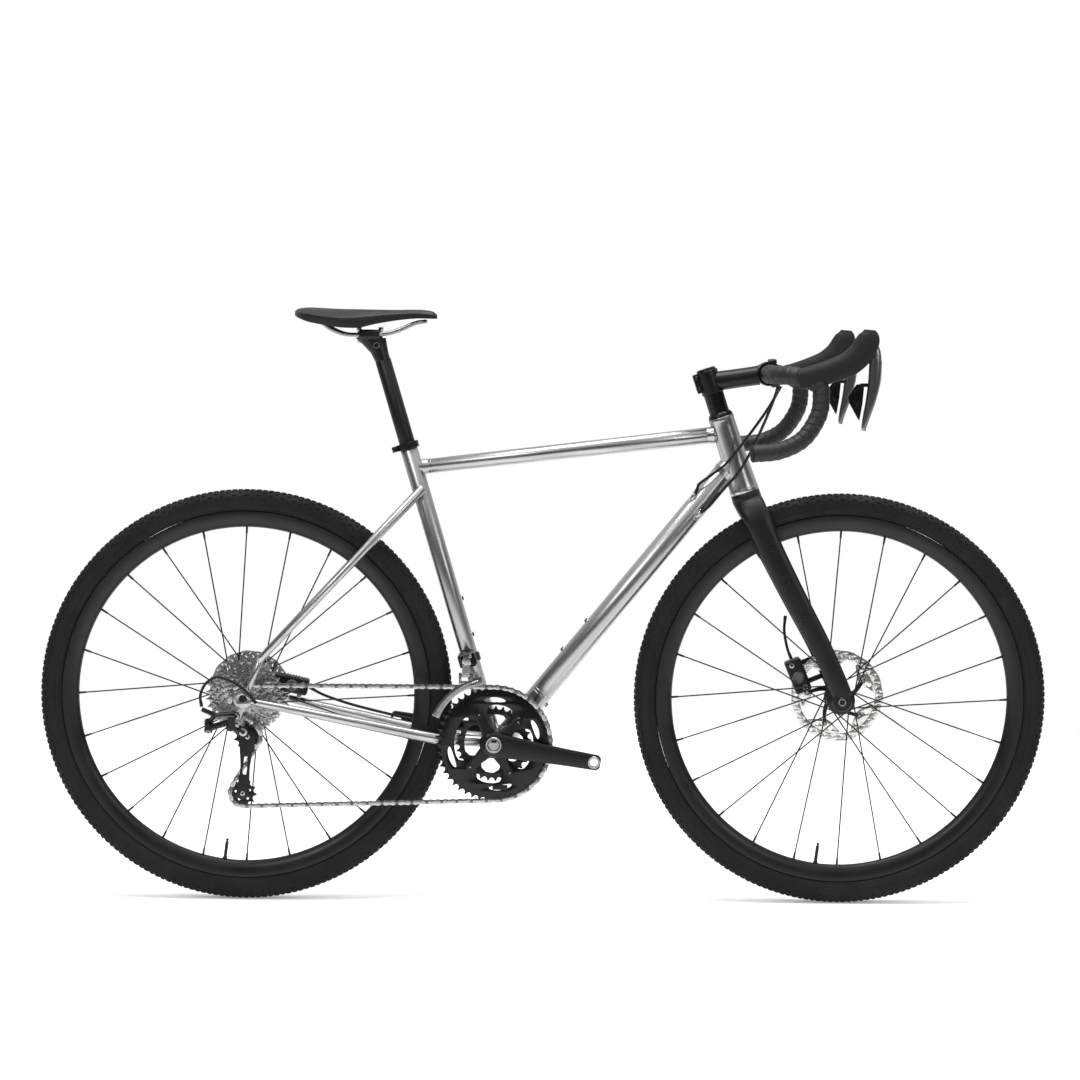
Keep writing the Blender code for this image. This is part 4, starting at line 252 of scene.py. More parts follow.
def smooth_path(points, per):
    """A Catmull-Rom curve through points of any size, with so many steps in each stretch."""
    points = [Vector(p) for p in points]
    ends = [points[0] * 2 - points[1], *points, points[-1] * 2 - points[-2]]
    path = []
    for before, start, end, after in zip(ends, ends[1:], ends[2:], ends[3:]):
        for i in range(per):
            t = i / per
            bend = (before * 2 - start * 5 + end * 4 - after) * t**2
            turn = (start * 3 - before - end * 3 + after) * t**3
            path.append((start * 2 + (end - before) * t + bend + turn) * 0.5)
    return [*path, points[-1]]


def smooth_values(values, per):
    return [row.x for row in smooth_path([(value, 0) for value in values], per)]


def even_path(points, spacing):
    """The path's points again, at even distances."""
    lengths = [0]
    for a, b in zip(points, points[1:]):
        lengths.append(lengths[-1] + (b - a).length)
    count = max(2, round(lengths[-1] / spacing))
    path, k = [], 0
    for i in range(count + 1):
        wanted = lengths[-1] * i / count
        while k < len(points) - 2 and lengths[k + 1] < wanted:
            k += 1
        span = lengths[k + 1] - lengths[k]
        path.append(points[k].lerp(points[k + 1], (wanted - lengths[k]) / span if span else 0))
    return path


def circle(x, z, radius, count=32, phase=0):
    return [polar(radius, phase + t, (x, z)) for t in turns(count)]


def arc_band(inner, outer, start, end, steps, centre=(0, 0)):
    """A flat band of an arc; the inner radius may be a function of the share from its end."""
    angles = [start + (end - start) * i / steps for i in range(steps + 1)]
    low = [inner(i / steps) if callable(inner) else inner for i in range(steps + 1)]
    return [polar(outer, a, centre) for a in angles] + [polar(r, a, centre) for r, a in zip(low, reversed(angles))]


def oval(centre, first, second, sides, power, grow=None):
    """A ring with two half axes, squarer than an ellipse where the power is below 1."""
    ring = []
    for turn in turns(sides):
        c, s = (copysign(abs(v) ** power, v) for v in (cos(turn), sin(turn)))
        ring.append(centre + (first * c + second * s) * (1 + grow(turn) if grow else 1))
    return ring


def hull(circles, count=40):
    """The outline round some circles, each given by x, z and radius."""
    points = [p for x, z, radius in circles for p in circle(x, z, radius, count)]
    return [points[i] for i in convex_hull_2d([Vector(p) for p in points])]


def evaluated(made):
    """The object's mesh as its modifiers leave it; the object goes."""
    bpy.context.view_layer.update()
    mesh = bpy.data.meshes.new_from_object(made.evaluated_get(bpy.context.evaluated_depsgraph_get()))
    bpy.data.objects.remove(made, do_unlink=True)
    return mesh


class Shape:
    """Collects closed solids, each with a material slot, for one mesh."""

    def __init__(self):
        self.verts, self.faces, self.slots = [], [], []

    def add(self, verts, faces, slot=0):
        start = len(self.verts)
        self.verts += [Vector(v) for v in verts]
        self.faces += [tuple(start + i for i in face) for face in faces]
        self.slots += [slot] * len(faces)

    def copy(self, other, matrix):
        self.add([matrix @ v for v in other.verts], other.faces)
        self.slots[-len(other.slots):] = other.slots

    def take(self, mesh, slot=0, place=Vector.copy):
        """Adds the mesh, with its points placed by a function, and removes it."""
        self.add([place(v.co) for v in mesh.vertices], [tuple(face.vertices) for face in mesh.polygons], slot)
        bpy.data.meshes.remove(mesh)

    def mesh(self, name, sharp):
        made = bpy.data.meshes.new(name)
        made.from_pydata([tuple(v) for v in self.verts], [], self.faces)
        made.polygons.foreach_set("material_index", self.slots)
        finish_mesh(made, sharp)
        return made

    def loft(self, rings, slot=0, loop=False):
        """A skin through rings of equal count, closed by end caps or back on itself."""
        size, count = len(rings[0]), len(rings)
        faces = []
        for r in range(count if loop else count - 1):
            a, b = r * size, ((r + 1) % count) * size
            for i in range(size):
                j = (i + 1) % size
                faces.append((a + i, a + j, b + j, b + i))
        if not loop:
            faces.append(tuple(range(size))[::-1])
            faces.append(tuple((count - 1) * size + i for i in range(size)))
        self.add([p for ring in rings for p in ring], faces, slot)

    def lathe(self, profile, origin, axis=SIDEWAYS, steps=96, slot=0):
        """A closed profile of (radius, height) points turned about an axis through the origin."""
        turn = axis.to_track_quat("Z", "Y").to_matrix()
        rings = []
        for angle in turns(steps):
            rings.append([origin + turn @ Vector((*polar(r, angle), h)) for r, h in profile])
        self.loft(rings, slot, loop=True)

    def rod(self, start, end, radius, end_radius=None, sides=32, slot=0, edge=0.0004):
        """A round bar or cone with broken edges."""
        last = radius if end_radius is None else end_radius
        length = (end - start).length
        profile = [(0, 0), (radius - edge, 0), (radius, edge)]
        profile += [(last, length - edge), (last - edge, length), (0, length)]
        self.lathe(profile, start, end - start, sides, slot)

    def cross_rod(self, centre, radius, width, sides=32, slot=0, edge=0.0004):
        half = SIDEWAYS * width / 2
        self.rod(centre - half, centre + half, radius, None, sides, slot, edge)

    def sweep(self, points, radius, sides=16, slot=0, loop=False, up=None):
        """A round section carried along points; the radius is a number, a list or a function."""
        rings, count = [], len(points)
        normal = up
        for i, point in enumerate(points):
            before = points[i - 1] if i or loop else point
            after = points[(i + 1) % count] if i < count - 1 or loop else point
            along = (after - before).normalized()
            if normal is None:
                normal = along.orthogonal()
            normal = (normal - along * normal.dot(along)).normalized()
            side = along.cross(normal)
            ring = []
            for turn in turns(sides):
                if callable(radius):
                    reach = radius(i, turn)
                else:
                    reach = radius[i] if isinstance(radius, list) else radius
                ring.append(point + (normal * cos(turn) + side * sin(turn)) * reach)
            rings.append(ring)
        self.loft(rings, slot, loop)

    def plate(self, outlines, y, thickness, edge=0.0003, slot=0):
        """Flat XZ outlines, with holes, as a plate of a thickness with rounded edges."""
        curve = bpy.data.curves.new("outline", "CURVE")
        curve.dimensions = "2D"
        curve.fill_mode = "BOTH"
        curve.extrude = thickness / 2 - edge
        curve.bevel_depth = edge
        curve.bevel_resolution = 1
        curve.offset = -edge
        for outline in outlines:
            spline = curve.splines.new("POLY")
            spline.points.add(len(outline) - 1)
            for point, (x, z) in zip(spline.points, outline):
                point.co = (x, z, 0, 1)
            spline.use_cyclic_u = True
        mesh = evaluated(add_object("outline", curve))
        self.take(mesh, slot, lambda p: Vector((p.x, y - p.z, p.y)))
        bpy.data.curves.remove(curve)

    def block(self, centre, size, turn=None, edge=0, slot=0):
        """A box with broken edges, turned by a rotation matrix."""
        bm = bmesh.new()
        bmesh.ops.create_cube(bm, size=1, matrix=Matrix.Diagonal((*size, 1)))
        if edge:
            bmesh.ops.bevel(bm, geom=bm.edges[:], offset=edge, segments=2, affect="EDGES", profile=0.7)
        mesh = bpy.data.meshes.new("block")
        bm.to_mesh(mesh)
        bm.free()
        self.take(mesh, slot, lambda p: centre + (turn @ p if turn else p))

    def bolt(self, place, out, radius=0.0035, height=0.003, slot=0, socket=1):
        """A round bolt head with a six-sided socket, its seat at the place."""
        inner = radius * 0.52
        profile = [(0, -0.004), (radius * 0.7, -0.004), (radius, 0), (radius, height * 0.8)]
        profile += [(radius * 0.86, height), (inner, height), (inner, height * 0.35), (0, height * 0.3)]
        self.lathe(profile, place, out, 24, slot)
        self.lathe([(0, height * 0.31), (inner * 0.98, height * 0.36), (inner * 0.98, height * 0.45),
                    (0, height * 0.45)], place, out, 6, socket)


def turn_y(angle):
    """A turn about Y that lifts the front."""
    return Matrix.Rotation(-angle, 3, "Y")


def finish_mesh(mesh, sharp):
    bm = bmesh.new()
    bm.from_mesh(mesh)
    bmesh.ops.remove_doubles(bm, verts=bm.verts, dist=0.000001)
    bmesh.ops.dissolve_degenerate(bm, edges=bm.edges, dist=0.000001)
    bmesh.ops.recalc_face_normals(bm, faces=bm.faces)
    bm.to_mesh(mesh)
    bm.free()
    mesh.shade_smooth()
    mesh.set_sharp_from_angle(angle=radians(sharp))


def drilled(shape, centre, radius):
    """The shape with a round hole through it, along the axis that runs sideways."""
    cutter = Shape()
    cutter.cross_rod(centre, radius, 0.08, 48)
    arm, tool = (add_object("solid", solid.mesh("solid", 35)) for solid in (shape, cutter))
    cut = arm.modifiers.new("hole", "BOOLEAN")
    cut.operation = "DIFFERENCE"
    cut.solver = "EXACT"
    cut.object = tool
    made = Shape()
    made.take(evaluated(arm))
    bpy.data.objects.remove(tool, do_unlink=True)
    return made


def piece(name, shape, materials, body, *nodes, sharp=35):
    """A new object that rides on a body, where one is given, and stands for its CAD nodes."""
    made = add_object(name, shape.mesh(name, sharp))
    for material in materials:
        made.data.materials.append(material)
    if body:
        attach(made, body)
    if nodes:
        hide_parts(*nodes)
    return made


def refined(name, node, voxel, passes, material, body, extra=None, slots=()):
    """A copy of a CAD node's mesh with its edges softened as in a casting, and what is added to it."""
    made = add_object(name, NODES[node].data.copy())
    remesh = made.modifiers.new("even faces", "REMESH")
    remesh.mode = "VOXEL"
    remesh.voxel_size = voxel
    soften = made.modifiers.new("soften", "SMOOTH")
    soften.factor = 0.5
    soften.iterations = passes
    shape = extra or Shape()
    shape.take(evaluated(made))
    return piece(name, shape, [material, *slots], body, node, sharp=60)


# Frame


def port_place(distance, over):
    """A hose port's place on the down tube's drive side, the tube's outside there and the way back along the hose."""
    out = DOWN_OUT * over - SIDEWAYS * sqrt(DOWN_RADIUS**2 - over**2)
    outward = out.normalized()
    return DOWN_START + DOWN_UP * distance + out, outward, (DOWN_UP * 3 + outward).normalized()


def caliper_posts(shape, centre, angle, sense, y, height, edge):
    for shift in (-0.017, 0.017):
        middle = centre + cosine(angle) * shift + cosine(angle - pi / 2) * sense * (0.0148 + height / 2)
        middle.y = y
        shape.block(middle, (0.0085, 0.0085, height), turn_y(angle), edge)


def make_frame():
    shape = Shape()
    bright, head, top, down, seatstay, chainstay = range(2, 8)
    length = HEAD_LENGTH
    profile = [(0.0166, 0), (0.0247, 0), (0.0252, 0.0008), (0.0252, 0.006), (0.0248, 0.007)]
    for i in range(11):
        share = i / 10
        profile.append((0.0246 - 0.0031 * share - 0.0006 * sin(pi * share), 0.008 + (length - 0.016) * share))
    profile += [(0.0217, length - 0.0068), (0.022, length - 0.006), (0.022, length - 0.0008)]
    profile += [(0.0215, length), (0.0166, length)]
    shape.lathe(profile, HEAD_TOP - HEAD_UP * length, HEAD_UP, 72, head)
    shape.rod(DOWN_START, DOWN_END, DOWN_RADIUS, sides=64, slot=down)
    for distance in (0.111, 0.1165):
        place = DOWN_START + DOWN_UP * distance
        shape.rod(place, place + DOWN_UP * 0.0016, 0.01935, sides=64, slot=down)
    top_start, top_end = SEAT_UP * 0.4875, HEAD_TOP - HEAD_UP * 0.0295
    top_along = (top_end - top_start).normalized()
    shape.rod(top_start, top_end, 0.0125, 0.0142, sides=56, slot=top)
    for distance in (0.022, 0.028):
        place = top_start + top_along * distance
        shape.rod(place, place + top_along * 0.0014, 0.0129, sides=56, slot=top)
    shape.rod(ORIGIN, SEAT_TOP, SEAT_RADIUS, sides=56)
    shell = [(0.0178, -0.034), (0.02, -0.034), (0.0206, -0.0334), (0.0206, 0.0334), (0.02, 0.034), (0.0178, 0.034)]
    shape.lathe(shell, ORIGIN, SIDEWAYS, 64)
    for start, end, radius, grow, slot in (  # weld beads at the tubes' ends
        (top_end, top_start, 0.0142, 0.0215, top), (top_start, top_end, 0.0125, 0.0148, top),
        (DOWN_END, DOWN_START, DOWN_RADIUS, 0.0235, down), (DOWN_START, DOWN_END, DOWN_RADIUS, 0.0206, down),
    ):
        along = (end - start).normalized()
        place = start + along * grow
        points = [place + along * 0.004 * i for i in range(4)]
        shape.sweep(points, [radius + more for more in (0.0016, 0.0008, 0.0002, -0.0002)], 56, slot)

    bridge = STAY_SEAT.lerp(REAR_AXLE, 0.11)
    shape.cross_rod(bridge, 0.0058, 0.04, 32)
    shape.rod(bridge + Vector((0.002, 0, 0.001)), bridge + Vector((-0.011, 0, -0.008)), 0.0036, sides=20)
    for side in (RIGHT, LEFT):
        inner, yoke = Vector((-0.01, side * 0.021, 0)), Vector((-0.0586, side * 0.0302, 0.0035))
        elbow = Vector((-0.101, side * 0.036, 0.007))
        tip = REAR_AXLE + Vector((0.014, side * 0.0765, -0.004))
        path = smooth_path([inner, yoke, elbow, elbow.lerp(tip, 0.5), tip], 10)
        shape.sweep(path, smooth_values((0.01, 0.0097, 0.0101, 0.0084, 0.0058), 10), 36, chainstay)
        start = STAY_SEAT + Vector((0.004, side * 0.0175, 0.004))
        foot = REAR_AXLE + Vector((0.008, side * 0.0765, 0.012))
        bend = foot + Vector((0.022, -side * 0.0008, 0.056))
        shape.rod(start, bend, 0.008, 0.0064, 36, seatstay)
        shape.rod(bend, foot, 0.0052, 0.005, 28, seatstay)
        collar = (foot - bend).normalized()
        shape.rod(bend - collar * 0.002, bend + collar * 0.005, 0.0068, 0.0056, 32, seatstay)
        dropout = hull([(REAR_AXLE.x, REAR_AXLE.z, 0.016), (foot.x + 0.002, foot.z + 0.004, 0.0048),
                        (tip.x, tip.z, 0.0052)])
        shape.plate([dropout, circle(REAR_AXLE.x, REAR_AXLE.z, 0.0066)], side * DROPOUT, 0.007, 0.0008)
    hanger = Vector((-0.436, 0, 0.0475))
    shape.plate([hull([(hanger.x, hanger.z, 0.0085), (REAR_AXLE.x - 0.003, REAR_AXLE.z - 0.006, 0.01)])],
                -DROPOUT, 0.0062, 0.0008)
    caliper_posts(shape, REAR_AXLE + Vector((0.072, 0, 0.012)), radians(-11.8), 1, 0.0672, 0.0125, 0.0015)

    places = [(DOWN_START + DOWN_UP * d + DOWN_OUT * DOWN_RADIUS, DOWN_OUT) for d in (0.196, 0.26)]
    places.append((DOWN_START + DOWN_UP * 0.104 - DOWN_OUT * DOWN_RADIUS, -DOWN_OUT))
    places += [(SEAT_UP * d + SEAT_OUT * SEAT_RADIUS, SEAT_OUT) for d in (0.186, 0.25)]
    for place, out in places:
        shape.rod(place - out * 0.003, place + out * 0.0012, 0.0052, 0.0046, 28)
        shape.bolt(place + out * 0.0012, out, 0.0036, 0.002, 1, 1)
    for distance, over in PORTS:
        place, outward, back = port_place(distance, over)
        shape.rod(place - back * 0.006, place + back * 0.006, 0.0042, 0.004, 28)
        across = DOWN_UP.cross(outward)
        rim = []
        for turn in turns(32):
            point = place - outward * 0.0003 + DOWN_UP * 0.0105 * cos(turn) + across * 0.0056 * sin(turn)
            foot = DOWN_START + DOWN_UP * (point - DOWN_START).dot(DOWN_UP)
            rim.append(foot + (point - foot).normalized() * 0.0192)
        shape.sweep(rim, 0.0011, 10, bright, loop=True, up=outward)
    brushes = [TUBE_STEELS[tube] for tube in ("head", "top", "down", "seatstay", "chainstay")]
    piece("frame_tubes", shape, [STEEL, ALLOY, BRIGHT, *brushes], "frame", "frame", sharp=50)

    clamp = Shape()
    bolt_place = SEAT_TOP - SEAT_UP * 0.0035 - SEAT_OUT * 0.0225
    clamp.bolt(bolt_place - SIDEWAYS * 0.0085, -SIDEWAYS, 0.0034, 0.0028, 0, 1)
    refined("seat_collar", "seat_clamp", 0.00055, 3, ALLOY, "frame", clamp, [BRIGHT])
    for label, side in SIDES:
        cup = Shape()
        profile = [(0.0125, 0.0343), (0.0216, 0.0343), (0.0218, 0.035), (0.0218, 0.04), (0.021, 0.0412),
                   (0.0206, 0.044), (0.015, 0.0443), (0.0125, 0.0443)]
        cup.lathe([(r, side * h) for r, h in profile], ORIGIN, SIDEWAYS, 64)
        for turn in turns(16):
            cup.cross_rod(cosine(turn) * 0.0216 + SIDEWAYS * side * 0.0376, 0.0013, 0.0058, 12)
        piece("bottom_bracket_cup_" + label, cup, [ALLOY], "frame", "bb_cup_" + label)


def make_fork():
    crown_seat = HEAD_TOP - HEAD_UP * (HEAD_LENGTH + 0.003)
    length, rake = 0.3844, 0.0465

    def fork_point(down, forward, side=0):
        return crown_seat - HEAD_UP * down + HEAD_FORWARD * forward + SIDEWAYS * side

    sections = [
        (0.03, 0, 0.006, 0.025, 0.012), (0.062, 0.04, 0.023, 0.0245, 0.012),
        (0.13, 0.12, 0.0355, 0.0228, 0.0098), (0.27, 0.24, 0.0405, 0.0212, 0.0085),
        (0.51, 0.55, 0.0455, 0.0196, 0.0075), (0.73, 0.87, 0.05, 0.018, 0.0065),
        (0.945, 1.08, 0.0535, 0.0165, 0.0045), (0.985, 1.04, 0.0533, 0.015, 0.003),
    ]
    shape = Shape()
    rows = smooth_path(sections, 8)
    for side in (RIGHT, LEFT):
        centres = [fork_point(row[0] * length, row[1] * rake, side * row[2]) for row in rows]
        rings = []
        for i, row in enumerate(rows):
            thin = HEAD_FORWARD.cross(heading(centres, i)).normalized()
            rings.append(oval(centres[i], HEAD_FORWARD * row[3], thin * row[4], 40, 0.85))
        shape.loft(rings)
        eye = FRONT_AXLE + SIDEWAYS * side * 0.0535
        shape.cross_rod(eye, 0.0166, 0.0078, 56, edge=0.0016)
        for share in (0.265, 0.43, 0.595):
            place = fork_point(share * length, share * rake * 1.02)
            place.y = side * (0.038 + 0.016 * share + 0.0072)
            shape.cross_rod(place, 0.0046, 0.0052, 28)
            shape.bolt(place + SIDEWAYS * side * 0.0024, SIDEWAYS * side, 0.003, 0.0012, 1, 1)
    profile = [(0, 0), (0.0238, 0), (0.025, 0.0012), (0.0252, 0.01), (0.0246, 0.018), (0.0225, 0.0235), (0, 0.0245)]
    shape.lathe(profile, fork_point(-0.0027, 0), -HEAD_UP, 64)
    shape.rod(fork_point(0.01, 0), HEAD_TOP + HEAD_UP * 0.0803, 0.0143, sides=40)
    caliper_posts(shape, CALIPER_FRONT, radians(4) - HEAD_ANGLE, -1, 0.0518, 0.031, 0.0016)
    piece("fork_blades", shape, [CARBON, ALLOY], "steering", "fork", sharp=45)


# Wheels

SPOKE_COUNT = 24
KNOBS = [
    # radius, distance from the middle, lean of the surface, half length, half width, height, offset on the left
    (0.3508, 0.0028, 0.05, 0.0044, 0.0019, 0.0013, 0), (0.3497, 0.0085, 0.3, 0.0036, 0.0021, 0.0014, 0.5),
    (0.3474, 0.0138, 0.62, 0.003, 0.002, 0.0016, 0), (0.3437, 0.0176, 0.98, 0.0038, 0.0017, 0.0017, 0.5),
    (0.3398, 0.0196, 1.28, 0.0022, 0.0013, 0.001, 0),
]
KNOB_ROWS = 104


def make_tyre(name, axle, body, node):
    shape = Shape()
    half = [(315.4, 10.9), (316.4, 12.9), (319.5, 15.2), (324, 17.9), (329.5, 19.7), (335, 20.3), (340, 19.6),
            (344.6, 17.3), (348, 13.4), (350, 8.4), (350.9, 3)]
    profile = [(r / 1000, y / 1000) for r, y in half]
    profile += [(r, -y) for r, y in reversed(profile)]
    shape.lathe(profile, axle, SIDEWAYS, 192)
    for side in (-1, 1):
        for radius, y in ((0.3188, 0.015), (0.3262, 0.01895)):
            shape.lathe([(radius - 0.0005, side * (y - 0.0004)), (radius + 0.0004, side * (y + 0.0004)),
                         (radius + 0.0009, side * (y + 0.0001)), (radius + 0.0004, side * (y - 0.001))],
                        axle, SIDEWAYS, 192)
    corners = [(-1, -1), (1, -1), (1, 1), (-1, 1)]
    faces = [(3, 2, 1, 0), (4, 5, 6, 7), (0, 1, 5, 4), (1, 2, 6, 5), (2, 3, 7, 6), (3, 0, 4, 7)]
    knobs = [(side, *knob) for knob in KNOBS for side in (1, -1)]
    for i in range(KNOB_ROWS):
        for side, radius, y, lean, long, wide, height, offset in knobs:
            y, lean = y * side, lean * side
            turn = 2 * pi * (i + (offset if side > 0 else 0.5 - offset)) / KNOB_ROWS
            out, along = cosine(turn), cosine(turn + pi / 2)
            up = out * cos(lean) + SIDEWAYS * sin(lean)
            across = SIDEWAYS * cos(lean) - out * sin(lean)
            place = axle + out * radius + SIDEWAYS * y
            low = [place + along * long * a + across * wide * b - up * 0.001 for a, b in corners]
            high = [place + along * long * 0.82 * a + across * wide * 0.78 * b + up * height for a, b in corners]
            shape.add(low + high, faces)
    piece(name, shape, [TYRE], body, node, sharp=30)


def make_rim(name, axle, body, node):
    shape = Shape()
    half = [(287, 0), (287.5, 2.8), (289.6, 6), (293.5, 8.9), (299, 11), (305, 12.3), (311, 12.9), (314.3, 13),
            (315, 12.4), (315, 11.3), (313.8, 10.8), (308.5, 10.6), (307, 6), (305.6, 0)]
    points = [(r / 1000, y / 1000) for r, y in half]
    profile = points + [(r, -y) for r, y in reversed(points[1:-1])]
    shape.lathe(profile, axle, SIDEWAYS, 192)
    valve = cosine(-pi / 2 - 0.13)
    stem = axle + valve * 0.2875
    for low, high, radius, tip, sides in (
        (0, 0.004, 0.0042, 0.0034, 24), (0, 0.03, 0.0029, None, 24),
        (0.029, 0.0345, 0.0016, None, 16), (0.032, 0.0355, 0.0026, 0.002, 16),
    ):
        shape.rod(stem - valve * low, stem - valve * high, radius, tip, sides, 1)
    piece(name, shape, [RIM, ALLOY], body, node, sharp=40)


def make_hub(name, axle, body, node, ends, flanges, rotor_y, barrel):
    shape = Shape()
    (right_end, left_end), (right, left) = ends, flanges
    core = 0.0064
    flange = [(0.0226, -0.0038), (0.024, -0.003), (0.024, 0.0028), (0.0228, 0.0036), (barrel + 0.003, 0.0075),
              (barrel, 0.012)]
    profile = [(core, right_end), (0.0096, right_end), (0.0102, right_end + 0.0006)]
    profile += [(0.011, right - 0.009), (0.015, right - 0.0058)]
    profile += [(r, right + y) for r, y in flange] + [(r, left - y) for r, y in reversed(flange)]
    profile += [(0.0152, left + 0.0058), (0.0139, left + 0.0068), (0.0139, rotor_y + 0.0036)]
    profile += [(0.0102, left_end - 0.001), (0.0096, left_end), (core, left_end)]
    shape.lathe(profile, axle, SIDEWAYS, 72)
    shape.lathe([(0.013, rotor_y + 0.0012), (0.019, rotor_y + 0.0012), (0.0196, rotor_y + 0.002),
                 (0.019, rotor_y + 0.0036), (0.013, rotor_y + 0.004)], axle, SIDEWAYS, 48)
    for flange in (right, left):
        for turn in turns(12, 0.5):
            shape.cross_rod(axle + cosine(turn) * 0.0205 + SIDEWAYS * flange, 0.0021, 0.0086, 12)
    lead = radians(74)
    for i, rim_angle in enumerate(turns(SPOKE_COUNT)):
        side = -1 if i % 2 else 1
        flange = left if side > 0 else right
        leading = 1 if (i // 2) % 2 else -1
        start = axle + cosine(rim_angle + leading * lead) * 0.021 + SIDEWAYS * (flange + side * leading * 0.0018)
        end = axle + cosine(rim_angle) * 0.2884 + SIDEWAYS * side * 0.001
        along = (end - start).normalized()
        shape.rod(start - along * 0.003, start + along * 0.003, 0.0017, 0.0012, 12)
        shape.rod(start, end, 0.00118, None, 10, 0, 0.0001)
        shape.rod(end - along * 0.013, end + along * 0.001, 0.0017, 0.0021, 12)
    piece(name, shape, [ALLOY], body, node)


def make_rotor(name, axle, y, radius, body, node):
    """A pale disc with slots and cooling fins, on a black spider with riveted arms."""
    shape = Shape()
    track, centre = radius - 0.0145, (axle.x, axle.z)
    outline = [polar(radius - 0.0006 + 0.0006 * cos(turn * 15), turn, centre) for turn in turns(180)]
    inner = circle(*centre, track, 90)
    slots = []
    for turn in turns(30):
        for reach, half, skew in ((radius - 0.0108, 0.0026, 0.05), (radius - 0.005, 0.002, -0.05)):
            slot = []
            for angle, long in ((0, 1), (0.9, 0.55), (2.24, 0.55), (3.14, 1), (4.04, 0.55), (5.38, 0.55)):
                r = reach + half * cos(angle) * long
                t = turn + (0.1 if reach > radius - 0.008 else 0) + skew * cos(angle) * 0.4
                t += copysign(0.001 / reach, sin(angle)) if abs(sin(angle)) > 0.1 else 0
                slot.append(polar(r, t, centre))
            slots.append(slot)
    shape.plate([outline, inner, *slots], y, 0.0018, 0.0002)
    rivet = min(0.052, track - 0.01)
    for turn in turns(5, 0.42):
        fin = [(track + 0.0012, share) for share in (-0.44, -0.2, 0, 0.2, 0.44)]
        fin += [(track - 0.004, 0.47), (rivet - 0.006, 0.18), (rivet - 0.008, 0), (rivet - 0.002, -0.2),
                (track - 0.004, -0.4)]
        fin = [polar(reach, turn + share * 2 * pi / 5 * 0.86, centre) for reach, share in fin]
        holes = [circle(*polar(track - 0.007, turn + s, centre), 0.0032, 20) for s in (-0.2, 0.22)]
        shape.plate([fin, *holes], y, 0.0012, 0.0002)
        arm = []
        for k in range(9):
            share = k / 8
            t = turn - 0.62 * (1 - share) ** 1.3
            arm.append(axle + cosine(t) * (0.015 + (rivet - 0.015) * share) + SIDEWAYS * y)
        left, right = [], []
        for k, p in enumerate(arm):
            across = heading(arm, k).cross(SIDEWAYS) * (0.0042 - 0.0014 * k / 8)
            left.append((p.x + across.x, p.z + across.z))
            right.append((p.x - across.x, p.z - across.z))
        shape.plate([left + right[::-1]], y, 0.003, 0.0006, 1)
        shape.cross_rod(arm[-1], 0.0042, 0.0032, 28, 1)
        shape.cross_rod(arm[-1], 0.0027, 0.004, 24, 2)
    shape.plate([circle(*centre, 0.02, 60), circle(*centre, 0.0143, 48)], y, 0.0034, 0.0005, 1)
    piece(name, shape, [ROTOR, ALLOY, BRIGHT], body, node)


def make_thru_axle(name, axle, spacing, head, body, node):
    shape = Shape()
    reach = spacing / 2 + 0.007
    side = SIDEWAYS * head
    shape.rod(axle - side * (reach + 0.001), axle + side * (reach + 0.003), 0.0059, None, 40)
    seat = axle + side * (reach + 0.0003)
    profile = [(0, 0), (0.0084, 0), (0.009, 0.0006), (0.009, 0.0026), (0.0082, 0.0034), (0.0034, 0.0034),
               (0.0034, 0.0012), (0, 0.0012)]
    shape.lathe(profile, seat, side, 48)
    shape.lathe([(0.0046, 0.003), (0.0064, 0.003), (0.0064, 0.0037), (0.0046, 0.0037)], seat, side, 48, 1)
    piece(name, shape, [ALLOY, BRIGHT], body, node)


def make_wheels():
    for label, axle, ends, flanges, rotor_y, barrel, radius in (
        ("front", FRONT_AXLE, (-0.0497, 0.0497), (-0.033, 0.023), 0.0395, 0.0125, 0.08),
        ("rear", REAR_AXLE, (-0.0248, 0.0707), (-0.015, 0.033), 0.0555, 0.013, 0.07),
    ):
        body = label + "_wheel"
        make_tyre("gravel_tyre_" + label, axle, body, label + "_tyre")
        make_rim("deep_rim_" + label, axle, body, label + "_rim")
        make_hub("laced_hub_" + label, axle, body, label + "_hub", ends, flanges, rotor_y, barrel)
        make_rotor("disc_" + label, axle, rotor_y, radius, body, label + "_rotor")
    make_thru_axle("through_axle_front", FRONT_AXLE, 0.1, RIGHT, "steering", "front_thru_axle")
    make_thru_axle("through_axle_rear", REAR_AXLE, 0.142, LEFT, "frame", "rear_thru_axle")


# Cockpit


def bar_points(side):
    rows = [(0.1, 0.002, -0.9), (0.44, 0.012, -0.18), (0.93, 0.12, 0.1), (1, 0.29, 0.26), (0.92, 0.53, 0.44),
            (0.58, 0.81, 0.7), (0.05, 0.96, 0.88), (-0.55, 1, 1)]
    points = [BAR_CENTRE + SIDEWAYS * side * away for away in (0, 0.04, 0.053, 0.064, 0.148)]
    return points + [BAR_CENTRE + Vector((reach * 0.072, side * (0.203 + 0.031 * share), -drop * 0.128))
                     for reach, drop, share in rows]


def bar_path(side):
    return smooth_path(bar_points(side), 12)


